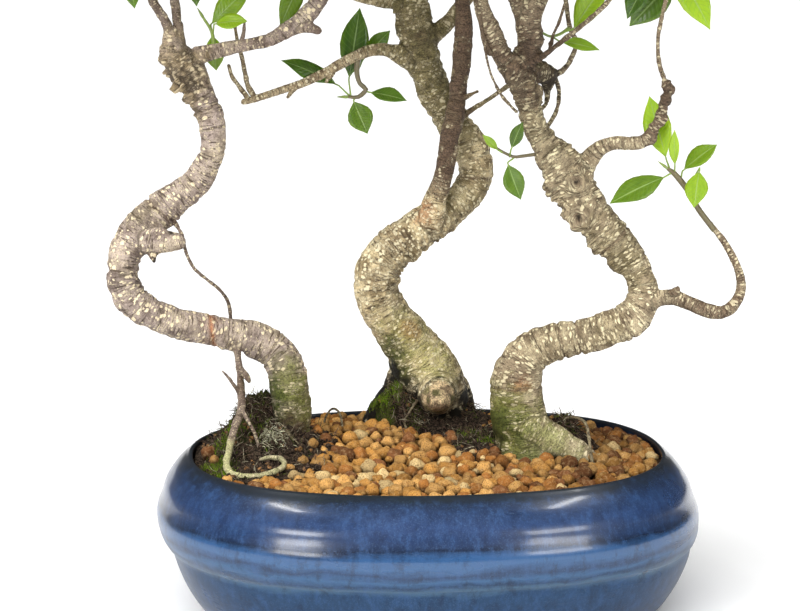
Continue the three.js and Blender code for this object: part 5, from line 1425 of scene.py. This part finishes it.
def rounded_block(x, y):
    """A foot: a block with soft edges, a little narrower at its sole."""
    points = []
    for z, inset in FOOT_STEPS:
        straight_x = FOOT_HALF_LENGTH - inset - FOOT_CORNER
        straight_y = FOOT_HALF_DEPTH - inset - FOOT_CORNER
        for angle in np.linspace(0, 2 * math.pi, FOOT_SIDES, endpoint=False):
            cosine, sine = math.cos(angle), math.sin(angle)
            points.append((x + straight_x * np.sign(cosine) + FOOT_CORNER * cosine,
                           y + straight_y * np.sign(sine) + FOOT_CORNER * sine, z))
    faces = skin_faces(len(FOOT_STEPS), FOOT_SIDES, outward=False)
    faces.append(tuple(range(FOOT_SIDES)))
    faces.append(tuple(reversed(range(len(points) - FOOT_SIDES, len(points)))))
    return points, faces


def drained(points, faces):
    """The pot with its two drain holes cut through the floor."""
    cutter = Shape()
    for x in DRAIN_HOLES_X:
        path = [(x, 0, z, HOLE_RADIUS) for z in (4, 9, 14, 20)]
        hole, hole_faces, _ = tube(path, HOLE_SIDES)
        cutter.add(in_pot(hole), hole_faces)
    tool = linked("tool", mesh_of("tool", np.vstack(cutter.points), cutter.faces))
    cut = modified(points, faces, "BOOLEAN", operation="DIFFERENCE", object=tool)
    bpy.data.objects.remove(tool)
    return cut


def build_pot(material):
    profile = smooth_path([(offset, 0, z) for z, offset in WALL], 1.3)
    rows = [oval(z, offset) for offset, _, z in profile]
    rim = int(np.argmax(profile[:, 2]))
    inner = [oval(FLOOR_TOP, -offset) for offset in (50, 95, 118)]
    outer = [oval(UNDERSIDE, -offset) for offset in (118, 95, 50)]
    for row in outer + rows[:rim]:
        row[:, 0] += SLUMP * (1 - smooth_step(row[:, 2], 38, 72))
    rows = outer + rows + inner
    points = np.vstack(rows)
    points[:, 2] += 0.35 * rough(points / 42.0, 3) * smooth_step(points[:, 2], 12, 30)
    swell = 1 + 0.0022 * rough(points / 60.0, 5)
    points[:, :2] *= swell[:, None]
    faces = skin_faces(len(rows), POT_SIDES)
    faces.append(tuple(reversed(range(POT_SIDES))))
    faces.append(tuple(range(len(points) - POT_SIDES, len(points))))
    shape = Shape()
    shape.add(*drained(in_pot(points), faces))
    for x in FEET_X:
        for y in FEET_Y:
            foot, foot_faces = rounded_block(x, y)
            shape.add(in_pot(foot), foot_faces)
    piece_of("glazed_pot", shape, material, "pot")


# Ground

# Swells of the ground: x, y, height, and spread along x and along y.
SWELLS = [(5, 55, 9, 62, 40), (-95, 20, 6, 36, 34), (72, 2, 5, 42, 30)]
# Mounds: x, y, half width, half depth, rise, then lumps of x, y, height and spread.
MOUNDS = {
    "left": (-112, -5, 52, 85, 2.5, [(-114, 36, 9, 17), (-98, 12, 8, 20), (-129, -2, 7, 14)]),
    "middle": (13, 78, 51, 42, 4, [(-22, 60, 9, 15), (20, 52, 4, 16), (-2, 46, 3, 10)]),
    "right": (92, 14, 22, 17, 6, []),
    "spill": (33, 18, 19, 34, 3, []),
}


def ground(x, y):
    """How high the grains lie at a place in the front view."""
    swell = sum(height * np.exp(-(x - cx) ** 2 / (2 * wide ** 2) - (y - cy) ** 2 / (2 * deep ** 2))
                for cx, cy, height, wide, deep in SWELLS)
    return GROUND_AT_WALL + swell


def ball(level):
    """The points and faces of a round solid made of equal triangles."""
    long = (1 + math.sqrt(5)) / 2
    points = [(-1, long, 0), (1, long, 0), (-1, -long, 0), (1, -long, 0), (0, -1, long),
              (0, 1, long), (0, -1, -long), (0, 1, -long), (long, 0, -1), (long, 0, 1),
              (-long, 0, -1), (-long, 0, 1)]
    points = [unit(point) for point in points]
    faces = [(0, 11, 5), (0, 5, 1), (0, 1, 7), (0, 7, 10), (0, 10, 11), (1, 5, 9), (5, 11, 4),
             (11, 10, 2), (10, 7, 6), (7, 1, 8), (3, 9, 4), (3, 4, 2), (3, 2, 6), (3, 6, 8),
             (3, 8, 9), (4, 9, 5), (2, 4, 11), (6, 2, 10), (8, 6, 7), (9, 8, 1)]
    for _ in range(level):
        middles, finer = {}, []
        for a, b, c in faces:
            trio = []
            for pair in ((a, b), (b, c), (c, a)):
                key = tuple(sorted(pair))
                if key not in middles:
                    middles[key] = len(points)
                    points.append(unit(points[pair[0]] + points[pair[1]]))
                trio.append(middles[key])
            ab, bc, ca = trio
            finer += [(a, ab, ca), (b, bc, ab), (c, ca, bc), (ab, bc, ca)]
        faces = finer
    return np.array(points), faces


def opening_share(x, y, margin):
    """How far out in the pot's opening a place is, 1 being that margin from its edge."""
    x, y = turned(x, y)
    return ((np.abs(x) / (HALF_LENGTH - margin)) ** OVAL_POWER
            + (np.abs(y) / (HALF_DEPTH - margin)) ** OVAL_POWER)


def in_mound(x, y, mound, share):
    cx, cy, wide, deep = MOUNDS[mound][:4]
    return ((x - cx) / (wide * share)) ** 2 + ((y - cy) / (deep * share)) ** 2 < 1


# Where trunks and roots enter the ground: x, y and reach.
TRUNK_FEET = [
    (-90, 20, 14), (15, 62, 17), (65, 0, 20), (85, -7, 13), (98, -8, 11), (-35, 74, 12), (26, 78, 10),
    (8, 42, 14),
]


def scattered(sizes, mound_share):
    """Places for grains of those sizes, dropped at random where there is room."""
    placed = np.zeros((0, 3))
    for size in sizes:
        for _ in range(60):
            x, y = rng.uniform(-165, 165), rng.uniform(-135, 135)
            if opening_share(x, y, GRAIN_WALL_GAP + size) >= 1:
                continue
            if any(in_mound(x, y, mound, mound_share) for mound in MOUNDS):
                continue
            if any(math.hypot(x - foot_x, y - foot_y) < reach + 0.7 * size
                   for foot_x, foot_y, reach in TRUNK_FEET):
                continue
            room = GRAIN_SPACING * (placed[:, 2] + size)
            gaps = np.hypot(placed[:, 0] - x, placed[:, 1] - y) - room
            if len(placed) == 0 or gaps.min() > 0:
                placed = np.vstack([placed, (x, y, size)])
                break
    return placed


def grain_shade(x, y):
    """Ochre, with pale cream ones in front of the middle and redder ones to the right."""
    tones = np.array([(0.55, 0.27, 0.065), (0.66, 0.36, 0.11), (0.42, 0.17, 0.04),
                      (0.80, 0.58, 0.27), (0.24, 0.095, 0.035)])
    pale = math.exp(-((x - 10) ** 2 + (y + 70) ** 2) / (2 * 45 ** 2))
    dull = 1 / (1 + math.exp(-(x - 75) / 14))
    odds = np.array([1, 1.0, 0.6, 0.12 + 0.6 * pale, 0.3 + 1.2 * dull])
    odds[2] += dull
    tone = tones[rng.choice(5, p=odds / odds.sum())] * (1 - 0.38 * dull)
    return tone * rng.uniform(0.5, 1.12)


def add_grain(shape, form, x, y, z, size, light=1.0):
    points, faces = form
    squash = rng.uniform(0.82, 1.12, 3)
    spin = spun(unit(rng.standard_normal(3)), rng.uniform(0, FULL_TURN))
    offset = rng.uniform(0, 100, 3)
    bulge = 1 + 0.27 * rough(points * 1.3 + offset, 1) + 0.15 * rough(points * 3.1 + offset, 2)
    flat = np.sign(points) * np.abs(points) ** 0.85
    lump = (flat * bulge[:, None] * squash) @ spin.T * size
    tone = one_shade(grain_shade(x, y), len(points))
    # Painted shade: each grain darkens towards its underside, and light below 1 dims a whole grain as
    # painted shade.
    painted_underside_shade = 0.12 + 0.88 * smooth_step(lump[:, 2] / size, -0.5, 0.6)
    tone[:, :3] *= light * painted_underside_shade[:, None]
    shape.add(lump + (x, y, z), faces, shade=tone)


# Grains that lie on the peat: x, y, size.
STRAY_GRAINS = [
    (-142, -20, 4.6), (-137, -30, 4.0), (-126, -74, 4.0), (-95, -84, 4.4), (-84, -62, 4.0),
    (-102, -76, 3.4), (-80, -30, 3.8), (-74, -6, 3.6), (-72, 22, 3.6), (-88, -46, 3.0),
]


def build_grains(material):
    fine, coarse, lowest = ball(2), ball(1), ball(0)
    shape = Shape()
    sizes = np.concatenate([rng.uniform(least, most, count) for least, most, count in
                            ((4.4, 5.6, 220), (3.4, 4.6, 460), (2.0, 3.2, 420))])
    for x, y, size in scattered(sizes, 0.86):
        z = ground(x, y) + rng.uniform(-2.4, 2.2)
        add_grain(shape, fine if y < 15 and size > 3 else coarse, x, y, z, size)
    # A lower layer of grains, dimmed to 0.3 as painted shade in the gaps between the grains above.
    for x, y, size in scattered(rng.uniform(3.6, 4.6, 460), 0.95):
        add_grain(shape, lowest, x, y, ground(x, y) - 5.6 + rng.uniform(-0.8, 0.8), size, 0.3)
    for x, y, size in STRAY_GRAINS:
        add_grain(shape, fine, x, y, mound_height(x, y, "left") + 1.5, size)
    shape.points = [front(points) for points in shape.points]
    piece_of("loose_clay_grains", shape, material, "clay_grains")


# Tangles of roots and moss that stand higher than the peat: x, y, height, spread.
TANGLES = {
    "left": [(-110, 26, 11, 13), (-122, 10, 5, 10), (-129, -16, 4, 9)],
    "middle": [(-28, 60, 10, 11), (-14, 53, 13, 9), (27, 60, 9, 8)],
    "right": [(91, 8, 14, 9)],
    "spill": [],
}


def mound_height(x, y, mound):
    cx, cy, wide, deep, rise, lumps = MOUNDS[mound]
    share = np.sqrt(((x - cx) / wide) ** 2 + ((y - cy) / deep) ** 2)
    lump = sum(height * np.exp(-(((x - lx) ** 2 + (y - ly) ** 2) / (2 * spread ** 2)) ** 1.5)
               for lx, ly, height, spread in lumps + TANGLES[mound])
    return ground(x, y) + 0.5 + rise * (1 - share ** 2) + lump


# Moss on the mounds: x, y, reach and how thick.
MOSS = {
    "left": [(-134, -38, 11, 1), (-131, -54, 9, 0.9), (-132, -16, 9, 0.9), (-126, 4, 8, 0.7),
             (-112, -4, 16, 0.15), (-113, 32, 14, 0.4)],
    "middle": [(-26, 52, 6.5, 1), (-20, 50, 5, 0.9), (-33, 58, 6, 0.7), (-8, 42, 8, 0.2)],
    "right": [(84, 14, 8, 0.2)],
    "spill": [(33, 18, 14, 0.1), (40, 8, 7, 0.5), (28, 22, 8, 0.2)],
}
# Places where fine roots crowd: x, y, z, reach and how many.
CLUMPS = {
    "left": [(-108, 20, 130, 13, 420), (-120, 8, 116, 11, 240), (-128, -20, 108, 10, 150),
             (-96, 0, 112, 12, 320), (-88, 40, 116, 12, 60)],
    "middle": [(-16, 50, 124, 10, 260), (-8, 44, 116, 10, 240), (26, 64, 112, 9, 60)],
    "right": [(91, 4, 118, 9, 320), (98, -6, 113, 7, 90)],
    "spill": [(33, 18, 103, 16, 260)],
}
# Single roots on the peat: points with radii.
STRAY_ROOTS = {
    "left": [
        [(-70, 56, 103, 0.9), (-68, 56, 114, 0.8), (-63, 56, 120, 0.8), (-58, 54, 116, 0.8),
         (-56, 51, 103, 0.9)],
        [(-92, -2, 118, 1.1), (-84, -8, 110, 1.0), (-74, -8, 105, 0.9), (-66, -4, 102, 0.7)],
    ],
    "middle": [
        [(-6, 44, 128, 0.9), (-14, 38, 116, 0.8), (-12, 32, 110, 0.7), (-6, 26, 105, 0.5)],
        [(22, 56, 122, 1.1), (30, 46, 110, 1.0), (40, 40, 104, 0.8)],
    ],
    "right": [
        [(90, 6, 124, 0.9), (97, -3, 127, 1.0), (103, -11, 125, 1.1), (105, -18, 117, 1.1),
         (106, -24, 107, 1.2), (107, -27, 101, 1.4)],
    ],
    "spill": [],
}
# Which mounds make up each tree's peat.
DOMES = {"left": ("left",), "middle": ("middle", "spill"), "right": ("right",)}
BLACK_ROOT = np.array((0.014, 0.010, 0.007))
BROWN_ROOT = np.array((0.15, 0.10, 0.06))
PALE_ROOT = np.array((0.56, 0.50, 0.34))
GREEN_ROOT = np.array((0.10, 0.14, 0.02))
MAUVE_ROOT = np.array((0.20, 0.125, 0.10))
STRAY_ROOT = np.array((0.30, 0.25, 0.15))
LICHEN = np.array((0.95, 0.92, 0.60))
CRUMB = np.array((0.045, 0.03, 0.021))
CLAY_CRUMB = np.array((0.42, 0.21, 0.08))
PEAT = (0.015, 0.011, 0.008)
MOSS_GREEN = np.array((0.09, 0.15, 0.01))
MOSS_TIP = np.array((0.20, 0.32, 0.016))
# How often a strand is black, brown, pale, green or mauve.
ROOT_ODDS = (0.30, 0.23, 0.19, 0.12, 0.16)


def build_peat(name, material):
    """Peat heaped round a tree's foot: a rough height field, crumbs, roots and moss."""
    shape = Shape()
    for mound in DOMES[name]:
        add_dome(shape, mound)
        litter(shape, mound)
    shape.points = [front(part) for part in shape.points]
    piece_of("peat_" + name, shape, material, "root_mound_" + name)


def add_dome(shape, mound):
    cx, cy, wide, deep = MOUNDS[mound][:4]
    steps, sides = 44, 120
    angles = 2 * math.pi * np.arange(sides) / sides
    shares = np.linspace(0.02, 1, steps)
    x = cx + wide * np.outer(shares, np.cos(angles)).ravel()
    y = cy + deep * np.outer(shares, np.sin(angles)).ravel()
    z = mound_height(x, y, mound)
    flat = np.column_stack([x, y, 0 * x])
    steep = 1 + (z - ground(x, y)) / 14
    edge = 1 - smooth_step(np.repeat(shares, sides), 0.9, 1.0)
    z += edge * (1.6 * steep * rough(flat / 5.0, 1) + 1.2 * steep * rough(flat / 2.2, 2)
                 + 0.6 * rough(flat / 1.1, 3))
    points = np.column_stack([x, y, z])
    faces = skin_faces(steps, sides, outward=False)
    faces.append(tuple(range(sides)))
    skirt = len(points)
    rim = points[-sides:] * (1, 1, 0) + (0, 0, MOUND_FOOT)
    points = np.vstack([points, rim])
    for side in range(sides):
        near = (side + 1) % sides
        faces.append((skirt - sides + side, skirt + side, skirt + near, skirt - sides + near))
    faces.append(tuple(reversed(range(skirt, skirt + sides))))
    kept = trimmed(points)
    shape.add(kept, faces, shade=mound_shade(kept, mound))


def trimmed(points):
    """Pulls points in to the pot's opening, so that nothing passes through its wall."""
    reach = opening_share(points[:, 0], points[:, 1], 1)
    pull = np.where(reach > 1, reach ** (-1 / OVAL_POWER), 1)
    return points * np.column_stack([pull, pull, np.ones(len(points))])


def mound_shade(points, mound):
    tone = one_shade(PEAT, len(points))
    grain = rough_sum(points / 3.0, 3, 4)
    tone[:, :3] *= (1 + 0.5 * grain)[:, None]
    for x, y, reach, strength in MOSS[mound]:
        gap = np.hypot(points[:, 0] - x, points[:, 1] - y) / reach
        share = strength * (1 - smooth_step(gap + 0.5 * grain, 0.4, 1.1))
        tone[:, :3] += (MOSS_GREEN - tone[:, :3]) * share[:, None]
    return np.clip(tone, 0, 1)


def random_spot(mound, share):
    cx, cy, wide, deep = MOUNDS[mound][:4]
    while True:
        u, v = rng.uniform(-1, 1, 2)
        if u * u + v * v > share * share:
            continue
        x, y = cx + u * wide, cy + v * deep
        if opening_share(x, y, 5) < 1:
            return x, y


def litter(shape, mound):
    """Crumbs, roots and moss on a mound."""
    crumb, crumb_faces = ball(0)
    area = MOUNDS[mound][2] * MOUNDS[mound][3]
    for _ in range(int(area * CRUMBS_PER_AREA)):
        x, y = random_spot(mound, 1.04)
        size = rng.uniform(0.6, 2.2)
        points = crumb * rng.uniform(0.6, 1.3, (len(crumb), 1)) * size
        z = mound_height(x, y, mound) + rng.uniform(-0.5, 1.4)
        tone = CRUMB * rng.uniform(0.3, 1.6)
        if rng.random() < 0.10:
            tone = CLAY_CRUMB * rng.uniform(0.5, 1.2)
        shape.add(points + (x, y, z), crumb_faces, shade=one_shade(tone, len(points)))
    for _ in range(int(area * STRANDS_PER_AREA)):
        x, y = random_spot(mound, 0.98)
        start = (x, y, mound_height(x, y, mound) + rng.uniform(0, 1))
        add_strand(shape, start, (0, 0, 0.1), rng.uniform(6, 13), mound)
    for x, y, z, reach, count in CLUMPS[mound]:
        for _ in range(count):
            away = rng.normal(0, 0.5 * reach, 3) * (1, 1, 0.45)
            height = mound_height(x + away[0], y + away[1], mound)
            start = (x + away[0], y + away[1], max(height - 0.5, min(z + away[2], height + 2)))
            if opening_share(start[0], start[1], 5) < 1:
                add_strand(shape, start, (0, -0.2, 0.25), rng.uniform(5, 12), mound)
    for path in STRAY_ROOTS[mound]:
        points, faces, _ = tube(smooth_path(path, 1.6), 7, 0.2, 5)
        tone = STRAY_ROOT * (1 + 0.4 * rough(points / 2.5, 7))[:, None]
        shape.add(trimmed(points), faces, shade=np.column_stack([tone, np.ones(len(points))]))
    if mound == "left":
        for _ in range(LICHEN_STRANDS):
            x, y = LICHEN_PLACE[0] + rng.normal(0, 4.6), LICHEN_PLACE[1] + rng.normal(0, 4.2)
            start = (x, y, mound_height(x, y, mound) + rng.uniform(1, 4))
            add_strand(shape, start, (0, -0.3, 0.8), rng.uniform(2.5, 5), mound, LICHEN)
    for x, y, reach, strength in MOSS[mound]:
        for _ in range(int(TUFTS_PER_REACH * strength * reach)):
            px, py = x + rng.normal(0, reach * 0.42), y + rng.normal(0, reach * 0.42)
            if opening_share(px, py, 4) < 1:
                add_moss(shape, px, py, mound_height(px, py, mound))


def add_strand(shape, start, lean, length, mound, tone=None):
    """A hair-thin root that curls: three-sided, drawn out at both ends."""
    if tone is None:
        tones = (BLACK_ROOT, BROWN_ROOT, PALE_ROOT, GREEN_ROOT, MAUVE_ROOT)
        tone = tones[rng.choice(len(tones), p=ROOT_ODDS)]
    way = unit(rng.standard_normal(3) * (1, 1, 0.4) + np.array(lean) * 1.4)
    curl = rng.normal(0, 0.85, 3)
    count = 6
    path = [np.array(start, float)]
    for _ in range(count - 1):
        way = unit(way + curl + rng.normal(0, 0.5, 3) - (0, 0, 0.3))
        path.append(path[-1] + way * length / (count - 1))
    path = np.array(path)
    floor = mound_height(path[:, 0], path[:, 1], mound) - 0.4
    path[:, 2] = np.maximum(path[:, 2], floor)
    radius = rng.uniform(0.16, 0.36)
    size = radius * np.sin(np.linspace(0.4, 2.9, count))
    _, across, other = frames_along(np.column_stack([path, size]))
    rings = [path + size[:, None] * (math.cos(angle) * across + math.sin(angle) * other)
             for angle in THREE_WAYS]
    points = np.stack(rings, axis=1).reshape(-1, 3)
    ends = [(0, 2, 1), (3 * count - 3, 3 * count - 2, 3 * count - 1)]
    faces = ends + skin_faces(count, 3)
    shade = one_shade(tone * rng.uniform(0.6, 1.3), len(points))
    shape.add(trimmed(points), faces, shade=np.clip(shade, 0, 1))


def add_moss(shape, x, y, z):
    """A tuft of moss: a short leaning spike."""
    lean = rng.normal(0, 0.7, 2)
    height = rng.uniform(1.4, 3.2)
    wide = rng.uniform(0.35, 0.6)
    turn = rng.uniform(0, FULL_TURN)
    ways = [turn + i * THREE_WAYS[1] for i in range(3)]
    foot = [(x + wide * math.cos(way), y + wide * math.sin(way), z - 0.6) for way in ways]
    points = [*foot, (x + lean[0] * height * 0.6, y + lean[1] * height * 0.6, z + height)]
    tone = MOSS_TIP * rng.uniform(0.3, 1.5)
    shape.add(points, [(0, 1, 3), (1, 2, 3), (2, 0, 3), (2, 1, 0)],
              shade=one_shade(tone, len(points)))


# Floor, camera and light

CAMERA_PLACE, CAMERA_TARGET = (-17.5, -1529.8, 465.8), (-17.5, 0, 200.7)
PLANT_HEART = (0, 0, 0.1)
# Each softbox: position in metres, width, height and watts.
SOFTBOXES = {
    "left_overhead": ((-1.3, -0.35, 2.3), 0.8, 0.12, 10),
    "right_overhead": ((1.3, -0.35, 2.3), 0.8, 0.12, 10),
    "left_window": ((-1.7, -1.95, 1.15), 0.9, 0.4, 16),
    "right_window": ((1.6, -2.1, 1.1), 1.1, 0.4, 18),
}


def build_floor(material):
    """A flat disc, in metres, wide enough to fill the view to its top edge."""
    sides, radii, level = 64, (0.3, 1, 3, 14), -0.0004
    angles = [2 * math.pi * i / sides for i in range(sides)]
    points = [(0, 0, level)]
    faces = []
    for radius in radii:
        points += [(radius * math.cos(angle), radius * math.sin(angle), level) for angle in angles]
    for i in range(sides):
        near = (i + 1) % sides
        faces.append((0, 1 + i, 1 + near))
        for ring in range(len(radii) - 1):
            inner, outer = 1 + ring * sides, 1 + (ring + 1) * sides
            faces.append((inner + i, outer + i, outer + near, inner + near))
    floor = linked("pale_floor", mesh_of("pale_floor", points, faces))
    floor.data.materials.append(material)


def aimed(name, data, position, target):
    """A camera or light in the scene, at a position and turned to a target."""
    made = linked(name, data)
    made.location = position
    made.rotation_euler = (Vector(target) - Vector(position)).to_track_quat("-Z", "Y").to_euler()
    return made


def build_camera():
    lens = bpy.data.cameras.new("camera")
    lens.sensor_width = 36
    lens.lens = 107.5
    lens.clip_end = 60
    bpy.context.scene.camera = aimed("camera", lens, front(CAMERA_PLACE), front(CAMERA_TARGET))


def build_light():
    world = bpy.data.worlds.new("studio")
    world.use_nodes = True
    tree = world.node_tree
    way = make(tree, "SeparateXYZ", {"Vector": make(tree, "TexCoord").outputs["Generated"]})
    behind = ranged(tree, way.outputs[1], -0.5, 0.5, 0.34, 1.2)
    tree.links.new(behind, tree.nodes["Background"].inputs["Strength"])
    bpy.context.scene.world = world
    sun = bpy.data.lights.new("key", "SUN")
    sun.energy = 5.0
    sun.angle = math.radians(76)
    key = aimed("key", sun, (-1.1, -1.9, 2.8), (0, 0, 0))
    key.visible_glossy = False
    for name, (position, width, height, power) in SOFTBOXES.items():
        light = bpy.data.lights.new(name, "AREA")
        light.shape = "RECTANGLE"
        light.size = width
        light.size_y = height
        light.energy = power
        aimed(name, light, position, PLANT_HEART)
    bpy.context.scene.view_settings.view_transform = "Standard"


build_camera()
build_light()
build_floor(floor_material())
build_pot(glaze_material())
build_grains(grain_material())
peat = peat_material()
for mound in DOMES:
    build_peat(mound, peat)
plastic = plastic_material()
hidden_parts = {"soil": soil_material(), "drain_mesh_left": plastic, "drain_mesh_right": plastic}
for node, material in hidden_parts.items():
    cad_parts[node].data.materials.clear()
    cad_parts[node].data.materials.append(material)
build_tree("left_bark", LEFT_TREE, LEFT_TWIGS, LEFT_LOOKS, bark_material(
    "grey_fig_bark", colour(0.17, 0.128, 0.105), colour(0.42, 0.335, 0.285),
    colour(0.80, 0.67, 0.45), 0.85, (3.8, 2.2), 0.55), 10)
build_tree("middle_bark", MIDDLE_TREE, MIDDLE_TWIGS, MIDDLE_LOOKS, bark_material(
    "olive_fig_bark", colour(0.20, 0.145, 0.07), colour(0.69, 0.55, 0.315),
    colour(0.88, 0.77, 0.51), 1.0, (2.8, 2.0), 0.7), 20)
build_tree("right_bark", RIGHT_TREE, RIGHT_TWIGS, RIGHT_LOOKS, bark_material(
    "brown_fig_bark", colour(0.175, 0.13, 0.08), colour(0.44, 0.35, 0.22),
    colour(0.82, 0.71, 0.46), 0.9, (4.0, 1.7), 0.95), 30)
build_leaves(
    leaf_material("fig_leaf", colour(0.016, 0.044, 0.004), colour(0.050, 0.098, 0.011)),
    leaf_material("young_fig_leaf", colour(0.03, 0.065, 0.005), colour(0.075, 0.125, 0.012)))
